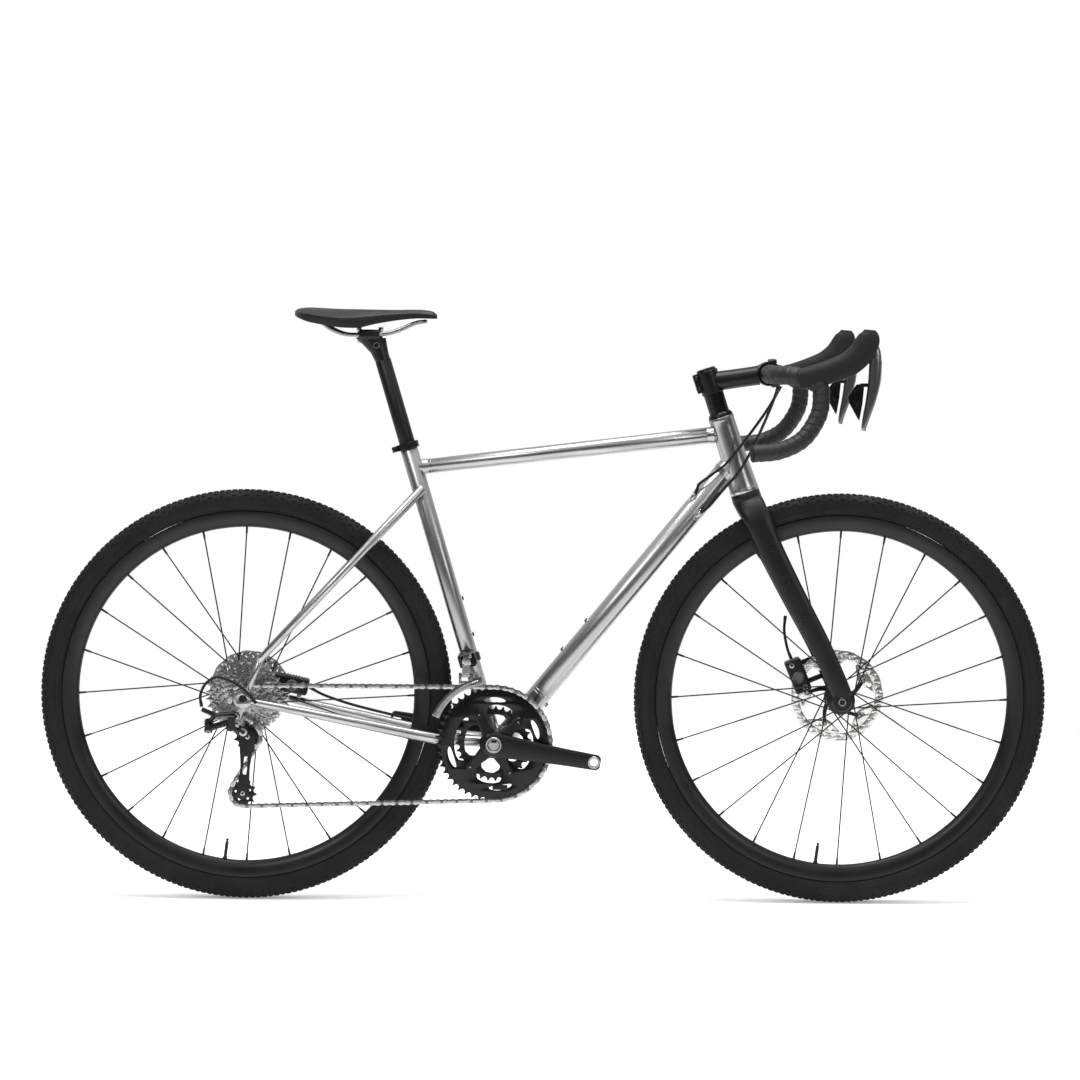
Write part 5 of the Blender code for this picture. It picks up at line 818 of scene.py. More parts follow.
def make_handlebar():
    shape = Shape()
    points = [*reversed(bar_path(LEFT)), *bar_path(RIGHT)[1:]]
    up = Vector((0.3, 0, 1))
    shape.sweep(points, [0.0159 - 0.0039 * ease((abs(p.y) - 0.036) / 0.018) for p in points], 40, up=up)
    piece("drop_bar", shape, [ALLOY], "steering", "handlebar", sharp=60)
    for label, side in SIDES:
        tape = Shape()
        path = even_path([p for p in bar_path(side) if abs(p.y) > 0.062], 0.0011)
        pitch, total = 0.0135 / 0.0011, len(path)

        def wrap(i, turn):
            share = i / total
            base = 0.0148 - 0.001 * min(1, max(0, (share - 0.35) / 0.2))
            phase = (i / pitch + side * turn / (2 * pi)) % 1
            ridge = phase / 0.86 if phase < 0.86 else (1 - phase) / 0.14
            end = min(1, (i + 1) / 3, (total - i) / 3)
            return (base + 0.0009 * ridge) * (0.9 + 0.1 * end)

        tape.sweep(path, wrap, 40, up=up)
        start, along = path[2], (path[6] - path[0]).normalized()
        tape.lathe([(0.0118, -0.004), (0.0158, -0.004), (0.0162, -0.0032), (0.0162, 0.0052), (0.0158, 0.006),
                    (0.0118, 0.006)], start, along, 48, 1)
        piece("tape_wrap_" + label, tape, [TAPE, GLOSSY], "steering", "bar_tape_" + label, sharp=50)
        plug = Shape()
        before, end = bar_path(side)[-2:]
        along = (end - before).normalized()
        plug.lathe([(0, 0.0001), (0.0138, 0.0001), (0.0146, 0.001), (0.0142, 0.003), (0.0118, 0.0046),
                    (0.005, 0.0052), (0, 0.0053)], end, along, 48)
        plug.lathe([(0.003, 0.0048), (0.0052, 0.005), (0.005, 0.0057), (0.0032, 0.0057)], end, along, 32, 1)
        piece("end_plug_" + label, plug, [RUBBER, ALLOY], "steering", "bar_plug_" + label)


def cockpit_loft(shape, sections, y, sides, power, slot=0, swell=None):
    """Rings square to a path beside the bar, each given by x, z, half height and half width."""
    rows = smooth_path(sections, 6)
    centres = [BAR_CENTRE + Vector((row[0], y, row[1])) for row in rows]
    rings = []
    for i, row in enumerate(rows):
        up = heading(centres, i).cross(SIDEWAYS).normalized()
        grow = swell and (lambda turn, i=i: swell(i, turn, len(rows)))
        rings.append(oval(centres[i], up * row[2], SIDEWAYS * row[3], sides, power, grow))
    shape.loft(rings, slot)


HOOD = [
    (0.034, -0.006, 0.0162, 0.016), (0.062, -0.001, 0.0185, 0.0172), (0.09, 0.008, 0.0195, 0.0168),
    (0.116, 0.019, 0.0205, 0.016), (0.135, 0.035, 0.0206, 0.0158), (0.1455, 0.052, 0.0202, 0.0148),
    (0.15, 0.065, 0.0172, 0.0128), (0.1512, 0.0755, 0.0092, 0.0086),
]
LEVER_ROWS = [
    (0.142, 0.06, 0.005, 0.0046), (0.158, 0.046, 0.008, 0.0052), (0.1605, 0.024, 0.0102, 0.0072),
    (0.159, -0.008, 0.01, 0.0076), (0.1535, -0.04, 0.008, 0.0072), (0.1465, -0.067, 0.0056, 0.0065),
    (0.1425, -0.084, 0.0036, 0.005), (0.143, -0.09, 0.0022, 0.0032),
]
PADDLE_OUTLINE = [(0.1395, -0.013), (0.1421, -0.0145), (0.1425, -0.02), (0.1403, -0.045), (0.1372, -0.064),
                  (0.1354, -0.0735), (0.1325, -0.07), (0.1175, -0.043), (0.1165, -0.036), (0.124, -0.0225),
                  (0.13, -0.014)]
PADDLE_RAISED = [(0.1375, -0.016), (0.1385, -0.022), (0.137, -0.042), (0.132, -0.05), (0.1225, -0.038),
                 (0.128, -0.024)]


def make_controls():
    for label, side in SIDES:
        y = side * CONTROL_REACH
        hood = Shape()

        def ribs(i, turn, count):
            share = i / count
            across = abs(sin(turn))
            strength = 0.012 if 0.22 < share < 0.8 and across > 0.35 else 0
            return strength * (0.5 + 0.5 * cos(turn * 30 + i * 0.9))

        cockpit_loft(hood, HOOD, y, 72, 0.8, 0, ribs)
        pivot = BAR_CENTRE + Vector((0.144, y, 0.053))
        hood.block(pivot + Vector((-0.004, 0, -0.004)), (0.018, 0.025, 0.026), turn_y(-0.35), 0.004, 1)
        hood.cross_rod(pivot, 0.0034, 0.0262, 28, 2)
        piece("lever_hood_" + label, hood, [RUBBER, GLOSSY, BRIGHT], "steering", "hood_" + label, sharp=50)
        lever = Shape()
        cockpit_loft(lever, LEVER_ROWS, y, 40, 0.9)
        # A thin strip of bright steel along the blade's front edge is a painted highlight on the grey lever.
        edge = smooth_path([BAR_CENTRE + Vector((x + h * 0.93, y, z)) for x, z, h, _ in LEVER_ROWS[2:]], 8)
        lever.sweep(edge, 0.0016, 12, 1)
        ear = BAR_CENTRE + Vector((0.1445, y, -0.015))
        lever.block(ear, (0.016, 0.0056, 0.006), None, 0.001, 2)
        lever.cross_rod(pivot, 0.005, 0.009, 28, 2)
        body = "brake_lever_" + label
        piece("brake_blade_" + label, lever, [LEVER_AND_CAGE_SHADE, BRIGHT, ALLOY], body, body)
        paddle = Shape()
        for outline, thickness, edge in ((PADDLE_OUTLINE, 0.0042, 0.0012), (PADDLE_RAISED, 0.0054, 0.001)):
            paddle.plate([[(BAR_CENTRE.x + x, BAR_CENTRE.z + z) for x, z in outline]], y, thickness, edge)
        body = "shift_paddle_" + label
        piece("shift_blade_" + label, paddle, [GLOSSY], body, body)


def make_stem():
    stem = Shape()
    stem.lathe([(0.0147, 0), (0.0184, 0), (0.019, 0.0006), (0.019, 0.0394), (0.0184, 0.04), (0.0147, 0.04)],
               STEM_SEAT - HEAD_UP * 0.02, HEAD_UP, 64)
    tube = [STEM_SEAT + STEM_ALONG * d for d in (0.01, 0.022, 0.05, 0.078, 0.084)]
    stem.sweep(smooth_path(tube, 6), smooth_values((0.0172, 0.0166, 0.0162, 0.0164, 0.017), 6), 48, up=HEAD_UP)
    lean = turn_y(pi / 2 - HEAD_ANGLE)
    back = STEM_SEAT - STEM_ALONG * 0.02
    for side in (-1, 1):
        stem.block(back + SIDEWAYS * side * 0.0062, (0.011, 0.0098, 0.033), lean, 0.0022)
    for shift in (-0.0095, 0.0095):
        place = back - STEM_ALONG * 0.0012 + HEAD_UP * shift
        stem.cross_rod(place, 0.0046, 0.024, 28)
        stem.bolt(place - SIDEWAYS * 0.0118, -SIDEWAYS, 0.0036, 0.0022, 0, 1)
    inner, outer, quarter, x, z = 0.0162, 0.0208, pi / 2, BAR_CENTRE.x, BAR_CENTRE.z
    ring = arc_band(inner, outer, STEM_ANGLE + quarter, STEM_ANGLE + 3 * quarter, 32, (x, z))
    stem.plate([ring], 0, 0.044, 0.0016)
    piece("stem_body", stem, [ALLOY, BRIGHT], "steering", "stem")
    plate = Shape()
    face = arc_band(inner, outer, STEM_ANGLE - quarter, STEM_ANGLE + quarter, 32, (x + 0.0012, z))
    for y in (-0.015, 0.015):
        plate.plate([face], y, 0.014, 0.0014)
    across = Vector((-STEM_ALONG.z, 0, STEM_ALONG.x))
    for side in (-1, 1):
        rib = BAR_CENTRE + STEM_ALONG * 0.0112 + across * side * 0.015
        plate.block(rib, (0.005, 0.03, 0.006), turn_y(STEM_ANGLE - side * 0.9), 0.0012)
        for y in (-0.015, 0.015):
            seat = BAR_CENTRE + STEM_ALONG * 0.003 + across * side * 0.0196 + SIDEWAYS * y
            plate.rod(seat, seat + STEM_ALONG * 0.011, 0.0046, 0.0044, 28)
            plate.bolt(seat + STEM_ALONG * 0.0106, STEM_ALONG, 0.0034, 0.0022, 0, 1)
    piece("bar_faceplate", plate, [ALLOY, BRIGHT], "steering", "stem_faceplate")
    cap = Shape()
    seat = HEAD_TOP + HEAD_UP * 0.0826
    cap.lathe([(0, 0), (0.0165, 0), (0.0168, 0.0006), (0.016, 0.0034), (0.0148, 0.0042), (0.0062, 0.0042),
               (0.0054, 0.003), (0, 0.003)], seat, HEAD_UP, 56)
    cap.bolt(seat + HEAD_UP * 0.0028, HEAD_UP, 0.0042, 0.0016, 0, 1)
    piece("top_cap", cap, [GLOSSY, BRIGHT], "steering", "stem_top_cap")
    spacer = Shape()
    start = HEAD_TOP + HEAD_UP * 0.0083
    rings = [0, 0.01, 0.02, 0.0337]
    for low, high in zip(rings, rings[1:]):
        spacer.lathe([(0.0147, low + 0.0001), (0.0168, low + 0.0001), (0.0172, low + 0.0005), (0.0172, high - 0.0005),
                      (0.0168, high - 0.0001), (0.0147, high - 0.0001)], start, HEAD_UP, 56)
    piece("spacer_stack", spacer, [GLOSSY], "steering", "steerer_spacer")
    cover = Shape()
    cover.lathe([(0.0147, 0.0003), (0.0206, 0.0003), (0.0212, 0.0009), (0.0212, 0.0026), (0.0204, 0.004),
                 (0.0186, 0.0072), (0.018, 0.0079), (0.0147, 0.008)], HEAD_TOP, HEAD_UP, 64)
    piece("headset_dust_cover", cover, [GLOSSY], "steering", "headset_cover")


def port_end(distance, over):
    """The last points of a hose that comes straight into a port of the down tube."""
    place, _, back = port_place(distance, over)
    return [place + back * (0.006 + away) for away in (0.02, 0.011, 0.0006)]


def make_hoses():
    routes = {
        "shift_housing": ([(0.479, -0.07, 0.612), (0.468, -0.066, 0.59), (0.45, -0.056, 0.56),
                           (0.412, -0.0405, 0.506), (0.385, -0.031, 0.474)] + port_end(*PORTS[0]), "bends"),
        "rear_brake_hose": ([(0.474, -0.085, 0.612), (0.462, -0.075, 0.575), (0.44, -0.056, 0.52),
                             (0.415, -0.043, 0.47), (0.388, -0.034, 0.437)] + port_end(*PORTS[1]), "bends"),
        "front_brake_hose": ([(0.500551, 0.044, 0.214494), (0.498907, 0.043, 0.187619),
                              (0.504529, 0.042, 0.15788), (0.511444, 0.0405, 0.140155)], "steering"),
        "rear_derailleur_housing": ([REAR_AXLE + Vector(p) for p in (
            (0.024, -0.086, -0.006), (0.005, -0.087, 0.016), (-0.02, -0.087, 0.032), (-0.043, -0.086, 0.038),
            (-0.062, -0.084, 0.026), (-0.071, -0.0815, 0.006))] + [Vector((-0.493969, -0.0793, 0.0636))], "frame"),
        "rear_caliper_hose": ([REAR_AXLE + Vector(p) for p in (
            (0.3, 0.04, -0.05), (0.25, 0.047, -0.04), (0.18, 0.056, -0.024), (0.13, 0.059, -0.008),
            (0.103, 0.058, 0.006))], "frame"),
    }
    for name, (points, body) in routes.items():
        shape = Shape()
        path = even_path(smooth_path(points, 10), 0.004)
        shape.sweep(path, 0.00245, 20)
        for a, b in ((path[0], path[2]), (path[-1], path[-3])):
            along = (b - a).normalized()
            shape.rod(a, a + along * 0.01, 0.003, 0.0028, 24, 1)
        bends = body == "bends"
        hose = piece(name + "_sleeve", shape, [HOUSING, ALLOY], None if bends else body, name, sharp=50)
        if bends:
            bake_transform(hose)


# Seat

SADDLE_ROWS = [
    # share of the length, share of the half width, top below the highest point, crown drop, skirt depth
    (0, 0.22, 0.006, 0.003, 0.005), (0.03, 0.64, 0.002, 0.007, 0.009), (0.11, 0.94, 0, 0.012, 0.013),
    (0.22, 1, 0.001, 0.015, 0.014), (0.33, 0.9, 0.002, 0.016, 0.016), (0.44, 0.67, 0.002, 0.015, 0.017),
    (0.55, 0.46, 0.002, 0.012, 0.014), (0.69, 0.34, 0.002, 0.009, 0.011), (0.84, 0.27, 0.002, 0.007, 0.009),
    (0.96, 0.21, 0.005, 0.006, 0.007), (1, 0.1, 0.011, 0.003, 0.004),
]


def make_saddle():
    """A padded cover with a hollow underside, a shallow middle channel and stitched side seams."""
    shape = Shape()
    rows = smooth_path(SADDLE_ROWS, 8)
    rings = []
    for share, width, low, crown, skirt in rows:
        x = -0.343 + share * 0.241
        half = width * 0.143 / 2
        top = 0.739 - low
        ring = []
        for i in range(49):
            across = sin(pi * (i / 48 - 0.5))
            channel = 0.0022 * exp(-((across * half / 0.0085) ** 2))
            channel *= min(1, max(0, (0.9 - share) * 6)) * min(1, max(0, (share - 0.05) * 8))
            seam = 0.0007 * exp(-(((abs(across) - 0.8) * half / 0.0011) ** 2))
            ring.append(Vector((x, half * across, top - crown * abs(across) ** 2.6 - channel - seam)))
        edge = top - crown
        hollow = 0.45 * (crown + skirt) + 0.002
        under = smooth_path([(0.95, edge - skirt), (0.7, edge - skirt * 0.6), (0, top - hollow)], 5)
        under = [(0.99, edge - skirt * 0.45), *under]
        ring += [Vector((x, half * a, z)) for a, z in under]
        ring += [Vector((x, -half * a, z)) for a, z in under[-2::-1]]
        rings.append(ring)
    shape.loft(rings)
    cover = piece("saddle_padding", shape, [LEATHER], "seatpost", "saddle", sharp=60)


def rail_path():
    side = [(-0.3, 0.034, 0.021), (-0.283, 0.032, 0.008), (-0.262, 0.026, -0.001),
            (-0.24, 0.022, -0.003), (-0.19, 0.022, -0.001), (-0.165, 0.019, 0.006),
            (-0.14, 0.012, 0.017), (-0.124, 0.005, 0.02)]
    right = [Vector((x, -away, 0.696 + up)) for x, away, up in side]
    return right + [Vector((p.x, -p.y, p.z)) for p in reversed(right)]


def make_seatpost():
    rails = Shape()
    rails.sweep(smooth_path(rail_path(), 10), 0.0035, 24)
    piece("oval_rails", rails, [LEVER_AND_CAGE_SHADE], "seatpost", "saddle_rails", sharp=60)
    details = Shape()
    details.rod(SEAT_TOP - SEAT_UP * 0.096, SEAT_UP * (0.65 / SEAT_UP.z), 0.0136, None, 64)
    for x in (-0.2345, -0.1975):
        seat = Vector((x, 0, 0.705))
        details.rod(seat - Vector((0, 0, 0.026)), seat, 0.003, None, 24, 1)
        details.bolt(seat - Vector((0, 0, 0.002)), Vector((0, 0, 1)), 0.0044, 0.003, 1, 2)
    place = Vector((-0.2045, -0.0138, 0.675))
    details.lathe([(0.0036, 0), (0.0058, 0), (0.0058, 0.0012), (0.0036, 0.0012)], place, -SIDEWAYS, 32, 1)
    refined("seatpost_head", "seatpost", 0.0008, 6, CARBON, "seatpost", details, [BRIGHT, ALLOY])


# Drivetrain

CHAIN_PITCH = 0.0127
RING_LINE, SMALL_RING_LINE, SPROCKET_LINE, SPROCKET_PITCH = -0.05, -0.044, -0.0665, 0.00374
CASSETTE_TEETH = (11, 12, 13, 14, 16, 18, 20, 22, 25, 28, 32)
GUIDE = Vector((-0.416969, -0.0665, 0.0119))
TENSION = Vector((-0.425095, -0.0665, -0.084759))
CHAIN_WHEELS = [
    # x, z, teeth, sense of turning seen from the drive side, line
    (0, 0, 48, 1, RING_LINE), (TENSION.x, TENSION.z, 11, 1, SPROCKET_LINE),
    (GUIDE.x, GUIDE.z, 11, -1, SPROCKET_LINE), (REAR_AXLE.x, REAR_AXLE.z, 11, 1, SPROCKET_LINE),
]


def pitch_radius(teeth):
    return CHAIN_PITCH / (2 * sin(pi / teeth))


def tangent(a, b):
    across = Vector((b[0] - a[0], b[1] - a[1]))
    lean = (b[3] * pitch_radius(b[2]) - a[3] * pitch_radius(a[2])) / across.length
    return atan2(across.y, across.x) + asin(lean)


def on_wheel(wheel, angle):
    reach = wheel[3] * pitch_radius(wheel[2])
    return Vector((wheel[0] - sin(angle) * reach, wheel[1] + cos(angle) * reach))


def chain_pins():
    """The pins' places: arcs on the wheels and straights between them."""
    count = len(CHAIN_WHEELS)
    leave = [tangent(CHAIN_WHEELS[i], CHAIN_WHEELS[(i + 1) % count]) for i in range(count)]
    runs = []
    for i, wheel in enumerate(CHAIN_WHEELS):
        following = CHAIN_WHEELS[(i + 1) % count]
        arrive = leave[i - 1]
        turn = (wheel[3] * (arrive - leave[i])) % (2 * pi)
        runs.append(("arc", wheel, arrive, turn * wheel[2] / (2 * pi)))
        start, end = on_wheel(wheel, leave[i]), on_wheel(following, leave[i])
        runs.append(("line", (start, end, wheel[4], following[4]), 0, (end - start).length / CHAIN_PITCH))
    total = round(sum(run[3] for run in runs))
    distance = (runs[0][3] % 1) / 2
    pins = []
    for i in range(total):
        along = distance + i
        for kind, data, arrive, length in runs:
            if along > length:
                along -= length
                continue
            if kind == "arc":
                flat = on_wheel(data, arrive - data[3] * along * 2 * pi / data[2])
                pins.append(Vector((flat.x, data[4], flat.y)))
            else:
                start, end, line, next_line = data
                share = along / length
                lead = 2 / length
                drift = min(1, max(0, (share - lead) / (1 - 2 * lead)))
                flat = start.lerp(end, share)
                pins.append(Vector((flat.x, line + (next_line - line) * drift, flat.y)))
            break
    return pins


def link_plate(shape, half, waist, y, slot):
    """One side plate of a link from pin to pin, with a waist."""
    outline = []
    for end, start in ((1, -pi / 2), (0, pi / 2)):
        outline += [polar(half, start + pi * k / 12, (end * CHAIN_PITCH, 0)) for k in range(13)]
        outline.append((CHAIN_PITCH / 2, waist if end else -waist))
    shape.plate([outline], y, 0.0009, 0.00022, slot)


def make_chain():
    shape, outer, inner, barrel = Shape(), Shape(), Shape(), Shape()
    for side in (-1, 1):
        link_plate(outer, 0.0042, 0.003, side * 0.00232, 0)
        link_plate(inner, 0.0041, 0.0031, side * 0.00138, 1)
    barrel.cross_rod(ORIGIN, 0.0038, 0.0018, 14, 1, 0.0002)
    barrel.cross_rod(ORIGIN, 0.0017, 0.0058, 12, 2, 0.0002)
    pins = chain_pins()
    for i, (pin, following) in enumerate(zip(pins, pins[1:] + pins[:1])):
        along = (following - pin).normalized()
        up = along.cross(SIDEWAYS).normalized()
        place = Matrix.Translation(pin) @ Matrix((along, up.cross(along), up)).transposed().to_4x4()
        stretch = Matrix.Diagonal(((following - pin).length / CHAIN_PITCH, 1, 1, 1))
        shape.copy(outer if i % 2 else inner, place @ stretch)
        shape.copy(barrel, place)
    piece("roller_chain", shape, [BRIGHT, CHAIN_DARK, BRIGHT], "frame", "chain", sharp=40)


GULLET = 0.0041


def tooth_outline(teeth, centre, phase, tip):
    """Round gullets for the rollers between teeth with blunt tips."""
    radius, half = pitch_radius(teeth), pi / teeth
    points = []
    for i in range(teeth):
        angle = phase + 2 * half * i
        out = Vector((cos(angle), sin(angle)))
        side = Vector((-out.y, out.x))
        middle = out * radius
        for turn in (-62, -31, 0, 31, 62):
            t = radians(turn)
            points.append(middle - out * GULLET * cos(t) + side * GULLET * sin(t))
        reach = radius * cos(half) + tip
        for spread in (-0.00055, 0.00055):
            out = Vector((cos(angle + half), sin(angle + half)))
            points.append(out * reach + Vector((-out.y, out.x)) * spread)
    return [(centre[0] + p.x, centre[1] + p.y) for p in points]


def make_cassette():
    shape = Shape()
    centre = (REAR_AXLE.x, REAR_AXLE.z)
    for i, teeth in enumerate(CASSETTE_TEETH):
        y = SPROCKET_LINE + SPROCKET_PITCH * i
        root = pitch_radius(teeth) - 0.0042
        middle, half = (root + 0.019) / 2, (root - 0.019) / 2 - 0.0026
        holes = [circle(*centre, 0.0071)]
        if teeth >= 16 and half > 0.0012:
            arms = 6 if teeth < 22 else 12
            wide = min(half * 1.5, 0.55 * pi * middle / arms)
            holes = [[polar(middle + half * cos(t), turn + wide * sin(t) / middle, centre) for t in turns(14)]
                     for turn in turns(arms, 0.5 * (i % 2))] + holes
        shape.plate([tooth_outline(teeth, centre, -2.363862, 0.0026), *holes], y, 0.0016, 0.00028)
        if i:
            shape.lathe([(0.015, y - 0.003), (0.0178, y - 0.003), (0.0178, y - 0.0007), (0.015, y - 0.0007)],
                        REAR_AXLE, SIDEWAYS, 40, 1)
    start, end = -0.0022 + SPROCKET_LINE, -0.0252
    shape.lathe([(0.0071, start), (0.015, start), (0.016, start + 0.001), (0.016, end), (0.0071, end)],
                REAR_AXLE, SIDEWAYS, 56, 1)
    cap = [(0.0071, -0.0706), (0.01, -0.0706), (0.011, -0.0698), (0.011, -0.0684), (0.0128, -0.0682),
           (0.0128, SPROCKET_LINE - 0.0006), (0.0071, SPROCKET_LINE - 0.0006)]
    shape.lathe(cap, REAR_AXLE, SIDEWAYS, 48, 1)
    for turn in turns(12):
        shape.cross_rod(REAR_AXLE + cosine(turn) * 0.012 - SIDEWAYS * 0.0684, 0.0008, 0.0012, 8, 1, 0.0001)
    piece("sprocket_cluster", shape, [SPROCKET, ALLOY], "cassette", "cassette", sharp=35)


SPIDER_ANGLES = tuple(radians(a) for a in (51.5, 126, -51.5, -126))


def ring_inside(full, deep, neck):
    """The inner edge of a chainring: wide tabs at the spider's arms and open arcs between them."""
    points = []
    for turn in turns(240):
        away = min(abs((turn - CRANK_ANGLE - a + pi) % (2 * pi) - pi) for a in SPIDER_ANGLES)
        away = degrees(away)
        reach = neck + (deep - neck) * ease((away - 8) / 14) + (full - deep) * ease((away - 22) / 8)
        points.append(polar(reach, turn))
    return points


def crescent(middle, reach, low, high):
    """A long window with pointed ends that follows the ring's curve."""
    half, centre = (high - low) / 2, (low + high) / 2
    return [polar(centre + half * sin(t), radians(middle + reach * cos(t))) for t in turns(28)]


def make_chainrings():
    outer = Shape()
    outline = tooth_outline(48, (0, 0), 1.515034, 0.0029)
    windows = [(89, 14), (20, 13), (-81, 15), (198, 14)]
    openings = [crescent(middle, reach, 0.0715, 0.08) for middle, reach in windows]
    outer.plate([outline, ring_inside(0.0672, 0.066, 0.048), *openings], RING_LINE, 0.0016, 0.0003)
    openings = [crescent(middle, reach + 1, 0.071, 0.0806) for middle, reach in windows]
    outer.plate([circle(0, 0, 0.0905, 144), ring_inside(0.068, 0.067, 0.049), *openings], RING_LINE - 0.001,
                0.0012, 0.0004)
    for turn in turns(24, 0.5):
        outer.cross_rod(cosine(turn) * 0.0868 + SIDEWAYS * (RING_LINE - 0.0014), 0.0009, 0.0012, 10, 0, 0.0001)
    for angle in SPIDER_ANGLES:
        outer.cross_rod(cosine(CRANK_ANGLE + angle) * 0.055 + SIDEWAYS * (RING_LINE + 0.001), 0.005, 0.003, 32, 1)
    block_place = cosine(radians(-81.5)) * 0.075 + SIDEWAYS * (RING_LINE - 0.0018)
    outer.block(block_place, (0.026, 0.003, 0.0086), None, 0.0012, 1)
    piece("chainring_48", outer, [GLOSSY, ALLOY], "crankset", "chainring_outer", sharp=35)
    inner = Shape()
    inner.plate([tooth_outline(31, (0, 0), 0, 0.0026), ring_inside(0.05, 0.047, 0.036)], SMALL_RING_LINE,
                0.0016, 0.0003)
    for angle in SPIDER_ANGLES:
        place = cosine(CRANK_ANGLE + angle) * 0.04
        inner.cross_rod(place + SIDEWAYS * (SMALL_RING_LINE + 0.0012), 0.0046, 0.0026, 28, 1)
    piece("chainring_31", inner, [ALLOY, GLOSSY], "crankset", "chainring_inner", sharp=35)


def crank_arm(side):
    """A tapering arm with bevelled edges that leans outward towards the pedal."""
    turn = CRANK_ANGLE if side == RIGHT else CRANK_ANGLE + pi
    frame_turn = Matrix.Rotation(-turn, 3, "Y")
    rows = [
        (-0.0195, 0.0115, 0.0565, 0.0645), (-0.012, 0.0185, 0.055, 0.068), (0.012, 0.0203, 0.055, 0.069),
        (0.034, 0.0188, 0.056, 0.0702), (0.06, 0.0172, 0.057, 0.0715), (0.12, 0.0144, 0.06, 0.074),
        (0.1725, 0.0132, 0.0635, 0.0755), (0.18, 0.0116, 0.0637, 0.0752), (0.1836, 0.0075, 0.0645, 0.0745),
    ]
    rings = []
    for u, half, low, high in smooth_path(rows, 5):
        edge = min(0.0042, half * 0.35)
        right = [(half - edge, low), (half - 0.0006, low + 0.0016), (half, low + 0.0034), (half, high - edge * 0.95),
                 (half - 0.0007, high - edge * 0.6), (half - edge * 1.2, high - 0.0003), (half - edge * 1.7, high)]
        left = [(-v, y) for v, y in reversed(right)]
        section = left[-1:] + right + left[:-1]
        rings.append([frame_turn @ Vector((u, side * y, v)) for v, y in section])
    arm = Shape()
    arm.loft(rings)
    eye = frame_turn @ Vector((0.1725, side * 0.0755, 0))
    shape = drilled(arm, eye, 0.0072)
    shape.lathe([(0.0072, -0.01), (0.0098, -0.01), (0.0105, 0.0002), (0.01, 0.0008), (0.0074, 0.0008),
                 (0.007, 0.0002)], eye, SIDEWAYS * side, 56, 1)
    return shape, frame_turn


SPIDER_ROWS = [
    # distance from the centre, half width, depth
    (0.006, 0.015, 0.0088), (0.026, 0.0108, 0.008), (0.044, 0.0082, 0.0066), (0.058, 0.008, 0.0054),
    (0.064, 0.005, 0.0044),
]


def make_cranks():
    shape, frame_turn = crank_arm(RIGHT)
    shape.rod(Vector((0, -0.049, 0)), Vector((0, -0.066, 0)), 0.0195, 0.0188, 64, 0, 0.001)
    shape.rod(Vector((0, -0.06, 0)), Vector((0, 0.06, 0)), 0.0119, None, 48, 1)
    face = RING_LINE - 0.00075 - 0.0003
    shape.rod(Vector((0, face, 0)), Vector((0, face - 0.0052, 0)), 0.0245, 0.023, 64, 0, 0.0012)
    for angle in SPIDER_ANGLES:
        turn = CRANK_ANGLE + angle
        spin = Matrix.Rotation(-turn, 3, "Y")
        rings = []
        for u, half, deep in smooth_path(SPIDER_ROWS, 5):
            edge = half * 0.38
            section = [(-half, face), (half, face), (half, face - deep * 0.55), (half - edge, face - deep),
                       (-half + edge, face - deep), (-half, face - deep * 0.55)]
            rings.append([spin @ Vector((u, y, v)) for v, y in section])
        shape.loft(rings)
        place = cosine(turn)
        shape.bolt(place * 0.055 + SIDEWAYS * (face - 0.0052), -SIDEWAYS, 0.0046, 0.001, 0, 1)
        shape.cross_rod(place * 0.04 + SIDEWAYS * (face + 0.0018), 0.005, 0.0042, 28)
    hub = Vector((0, -0.069, 0))
    shape.lathe([(0.0104, 0), (0.0132, 0), (0.0136, 0.0006), (0.013, 0.0013), (0.0108, 0.0013), (0.0104, 0.0008)],
                hub, -SIDEWAYS, 56, 1)
    shape.lathe([(0, -0.001), (0.0092, -0.001), (0.0092, -0.0001), (0.0086, 0.0004), (0, 0.0004)], hub, -SIDEWAYS,
                48, 1)
    shape.block(hub + Vector((0.0006, -0.0001, 0.0062)), (0.0092, 0.0016, 0.0044), None, 0.0004, 0)
    piece("crank_right", shape, [ALLOY, BRIGHT], "crankset", "crank_arm_right", sharp=28)
    shape, frame_turn = crank_arm(LEFT)
    shape.lathe([(0.0123, 0.045), (0.0172, 0.045), (0.018, 0.046), (0.018, 0.0606), (0.0178, 0.062),
                 (0.0123, 0.062)], ORIGIN, SIDEWAYS, 64)
    hub = Vector((0, 0.069, 0))
    shape.lathe([(0, 0), (0.0118, 0), (0.0124, 0.0006), (0.0118, 0.0016), (0.0056, 0.0016), (0.005, 0.0006),
                 (0, 0.0006)], hub, SIDEWAYS, 48, 1)
    for shift in (-0.006, 0.006):
        place = frame_turn @ Vector((shift * 1.5, 0.0605 + shift * 0.6, -0.015))
        shape.bolt(place, frame_turn @ Vector((0, 0, -1)), 0.0034, 0.0016, 0, 1)
    piece("crank_left", shape, [ALLOY, BRIGHT], "crankset", "crank_arm_left", sharp=28)


def make_pulley(name, place, phase, body, node):
    shape = Shape()
    centre = place.x, place.z
    holes = [circle(*centre, 0.003, 24)] + [circle(*polar(0.0124, phase + t, centre), 0.0021, 16) for t in turns(5)]
    shape.plate([tooth_outline(11, centre, phase, 0.0024), *holes], place.y, 0.002, 0.0003)
    shape.lathe([(0.0028, -0.0046), (0.0078, -0.0046), (0.008, -0.004), (0.008, 0.004), (0.0078, 0.0046),
                 (0.0028, 0.0046)], place, SIDEWAYS, 40)
    piece(name, shape, [ALLOY], body, node)


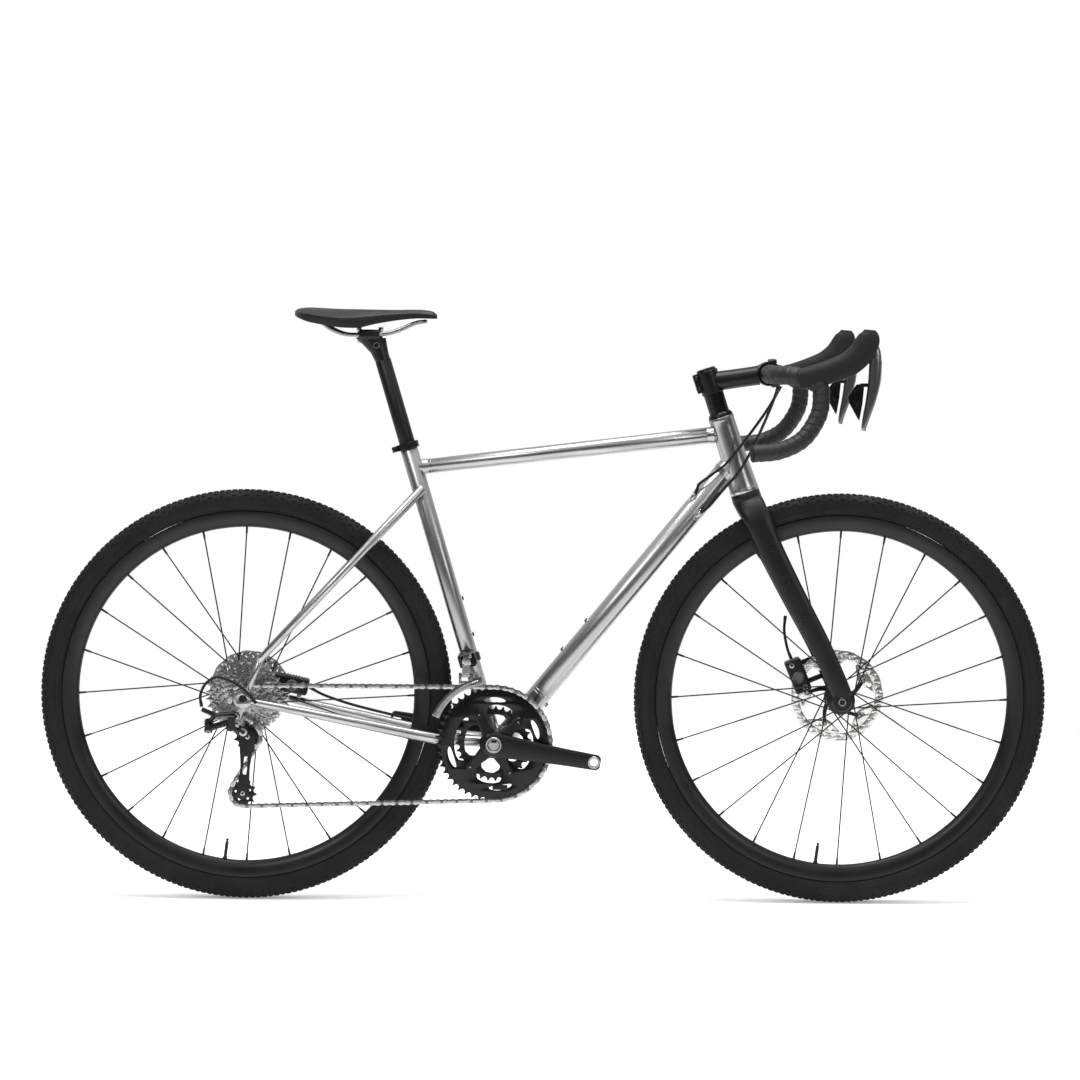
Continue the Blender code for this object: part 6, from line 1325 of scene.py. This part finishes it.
def make_derailleurs():
    make_pulley("jockey_wheel_upper", GUIDE, -0.316537, "guide_pulley", "guide_pulley")
    make_pulley("jockey_wheel_lower", TENSION, -2.11043, "tension_pulley", "tension_pulley")
    shape = Shape()
    along = (TENSION - GUIDE).normalized()
    across = along.cross(SIDEWAYS)

    def flat(start, u, v):
        place = start + along * u + across * v
        return place.x, place.z

    edges = smooth_path([(0, 0.014), (0.02, 0.0118), (0.052, 0.0078), (0.08, 0.0094), (0.097, 0.0108)], 6)
    slot = smooth_path([(0.034, 0.003), (0.05, 0.0036), (0.066, 0.003)], 5)
    cap_end = [flat(TENSION, *polar(0.0108, radians(a))) for a in range(70, -71, -20)]
    cap_start = [flat(GUIDE, *polar(0.014, radians(a))) for a in range(-110, -251, -20)]
    outline = [flat(GUIDE, u, v) for u, v in edges] + cap_end
    outline += [flat(GUIDE, u, -v) for u, v in reversed(edges)] + cap_start
    window = [flat(GUIDE, u, v) for u, v in slot] + [flat(GUIDE, u, -v) for u, v in reversed(slot)]
    for y in (SPROCKET_LINE - 0.00575, SPROCKET_LINE + 0.00575):
        shape.plate([outline, window], y, 0.0015, 0.0004)
    for place in (GUIDE, TENSION):
        shape.cross_rod(place, 0.0024, 0.013, 24)
        shape.bolt(place - SIDEWAYS * 0.0062, -SIDEWAYS, 0.004, 0.0014, 1, 0)
    piece("pulley_cage", shape, [ALLOY, BRIGHT], "rear_derailleur_cage", "rear_derailleur_cage", sharp=35)

    axis = Vector((0, 0.6, 0.8))
    root, tip = Vector((-0.482969, -0.0733, 0.026)), Vector((-0.442969, -0.092, 0.04))
    body = Shape()
    body.bolt(Vector((-0.436, -0.0816, 0.0475)), -SIDEWAYS, 0.0056, 0.002, 1, 0)
    body.bolt(root + axis * 0.0155, axis, 0.0042, 0.0016, 1, 0)
    refined("changer_bracket", "rear_derailleur_bracket", 0.0006, 5, GLOSSY, "frame", body, [BRIGHT])
    link = Shape()
    thick = axis * 0.003
    for share in (0.3, 0.5, 0.7):
        place = root.lerp(tip, share) - SIDEWAYS * 0.0052
        link.rod(place - thick, place + thick, 0.0016, None, 14)
    link.bolt(root - axis * 0.0062, -axis, 0.0046, 0.0012, 1, 0)
    link.bolt(tip + axis * 0.0062, axis, 0.005, 0.0012, 1, 0)
    refined("changer_link", "rear_derailleur_link", 0.0006, 5, GLOSSY, "rear_derailleur_link", link, [BRIGHT])
    knuckle = Shape()
    pivot = Vector((-0.422969, -0.0665, 0.0219))
    knuckle.bolt(Vector((pivot.x, -0.088, pivot.z)), -SIDEWAYS, 0.007, 0.0012, 1, 0)
    refined("changer_knuckle", "rear_derailleur_knuckle", 0.0006, 5, GLOSSY, "rear_derailleur_knuckle", knuckle,
            [BRIGHT])

    front = Shape()
    front.block(Vector((-0.046, -0.0556, 0.1425)), (0.0115, 0.0012, 0.015), turn_y(radians(8)), 0.0005, 1)
    front.bolt(Vector((-0.041, -0.0556, 0.15)), -SIDEWAYS, 0.0026, 0.0016, 1, 0)
    front.bolt(Vector((-0.0575, -0.03, 0.15)), Vector((-1, 0, 0)), 0.003, 0.002, 1, 0)
    refined("swing_clamp", "front_derailleur_body", 0.0006, 5, GLOSSY, "frame", front, [BRIGHT])
    refined("swing_link", "front_derailleur_link", 0.0005, 3, BRIGHT, "front_derailleur_link")
    cage = Shape()
    band = arc_band(lambda s: 0.103 + 0.002 * sin(pi * s), 0.116, radians(101), radians(155), 24)
    for y in (-0.0567, -0.0455):
        cage.plate([band], y, 0.001, 0.0003)
        rib = [cosine(radians(104 + 46 * i / 20)) * 0.1118 + SIDEWAYS * (y - 0.0004) for i in range(21)]
        cage.sweep(rib, 0.0012, 10, 1)
    cage.cross_rod(cosine(radians(153)) * 0.1115 - SIDEWAYS * 0.0511, 0.0026, 0.013, 24)
    bottom = Vector((-0.048, -0.048, 0.1175))
    for x in (-0.0098, 0.0098):
        cage.block(bottom + Vector((x, -0.0031, -0.005)), (0.0044, 0.0112, 0.017), None, 0.001)
    cage.block(bottom + Vector((0, -0.0031, -0.0125)), (0.024, 0.0118, 0.004), None, 0.001)
    cage.rod(bottom - Vector((0.01, 0, 0)), bottom + Vector((0.01, 0, 0)), 0.002, None, 20)
    # The cage plates take the darker lever steel as painted shade, darker than the plates themselves.
    piece("swing_cage", cage, [LEVER_AND_CAGE_SHADE, BRIGHT], "front_derailleur_cage", "front_derailleur_cage", sharp=35)


def make_calipers():
    for name, node, centre, angle, body in (
        ("brake_caliper_front", "front_caliper", CALIPER_FRONT, -1.181588, "steering"),
        ("brake_caliper_rear", "rear_caliper", Vector((-0.352969, 0.0575, 0.0885)), -0.205949, "frame"),
    ):
        turn = turn_y(angle)
        extra = Shape()
        for side in (-1, 1):
            out = SIDEWAYS * side
            place = centre + turn @ Vector((0.002, 0, -0.001)) + out * 0.0142
            extra.lathe([(0, -0.002), (0.01, -0.002), (0.0104, 0.0004), (0.0098, 0.0014), (0.0084, 0.0017),
                         (0.008, 0.001), (0, 0.001)], place, out, 40, 1)
            for shift in (-0.0215, 0.0215):
                spot = centre + turn @ Vector((shift, 0, copysign(0.004, shift))) + out * 0.014
                extra.bolt(spot, out, 0.0046, 0.0012, 2, 0)
            for k in range(5):
                spot = centre + turn @ Vector((-0.01 + 0.005 * k, 0, 0.012)) + out * 0.0096
                extra.block(spot, (0.002, 0.009, 0.0062), turn, 0.0005, 0)
        refined(name, node, 0.0008, 4, ALLOY, body, extra, [GREY, BRIGHT])


# Studio
FLOOR_LEVEL = -0.2757


def make_studio():
    """A pale floor, three soft lamps and a pale world that is darker behind the camera."""
    bm = bmesh.new()
    bm.faces.new([bm.verts.new((*polar(2.6, turn, (0.08, 0)), FLOOR_LEVEL)) for turn in turns(96)])
    mesh = bpy.data.meshes.new("floor")
    bm.to_mesh(mesh)
    bm.free()
    mesh.shade_smooth()
    floor = add_object("floor", mesh)
    material, graph = new_material("pale_floor")
    graph.set(Roughness=0.9, Emission_Color=(1, 1, 1, 1), Emission_Strength=0.22)
    clouds = graph.noise(graph.stretched((0.7, 0.7, 0.7)), 2)
    graph.colour_between(clouds, (0.93, 0.93, 0.93), (0.95, 0.95, 0.95))
    mesh.materials.append(material)

    def lamp(name, place, aim, size, power):
        light = bpy.data.lights.new(name, "AREA")
        light.shape = "RECTANGLE"
        light.size, light.size_y = size
        light.energy = power
        made = add_object(name, light)
        made.location = place
        made.rotation_euler = (Vector(aim) - Vector(place)).to_track_quat("-Z", "Y").to_euler()

    lamp("key_light", (-2.6, -4.2, 3.4), (0, 0, 0.2), (2, 1.4), 55)
    lamp("fill_light", (3.4, -3.8, 2.2), (0.1, 0, 0.2), (1.6, 1.6), 32)
    lamp("top_light", (0.2, -0.4, 4.2), (0, 0, 0), (3.6, 1.4), 170)
    world = bpy.data.worlds.new("studio")
    bpy.context.scene.world = world
    world.use_nodes = True
    graph = Graph(world.node_tree, "Background")
    graph.set(Color=(1, 1, 1, 1))
    parts = graph.node("ShaderNodeSeparateXYZ")
    graph.join(graph.place["Generated"], parts.inputs[0])

    def larger(first, second):
        made = graph.node("ShaderNodeMath", operation="MAXIMUM")
        graph.join(first, made.inputs[0])
        graph.join(second, made.inputs[1])
        return made.outputs[0]

    behind = graph.spread(parts.outputs["Y"], 0.07, 0.75, -0.35, 0.6, interpolation_type="SMOOTHSTEP")
    above = graph.spread(parts.outputs["Z"], 0.07, 0.8, 0.3, 0.62, interpolation_type="SMOOTHSTEP")
    camera_ray = graph.node("ShaderNodeLightPath").outputs["Is Camera Ray"]
    graph.join(larger(larger(behind, above), camera_ray), graph.shader.inputs["Strength"])
    bpy.context.scene.view_settings.view_transform = "Standard"


make_frame()
make_fork()
make_wheels()
make_handlebar()
make_controls()
make_stem()
make_hoses()
make_saddle()
make_seatpost()
make_chain()
make_cassette()
make_chainrings()
make_cranks()
make_derailleurs()
make_calipers()
make_camera()
make_studio()
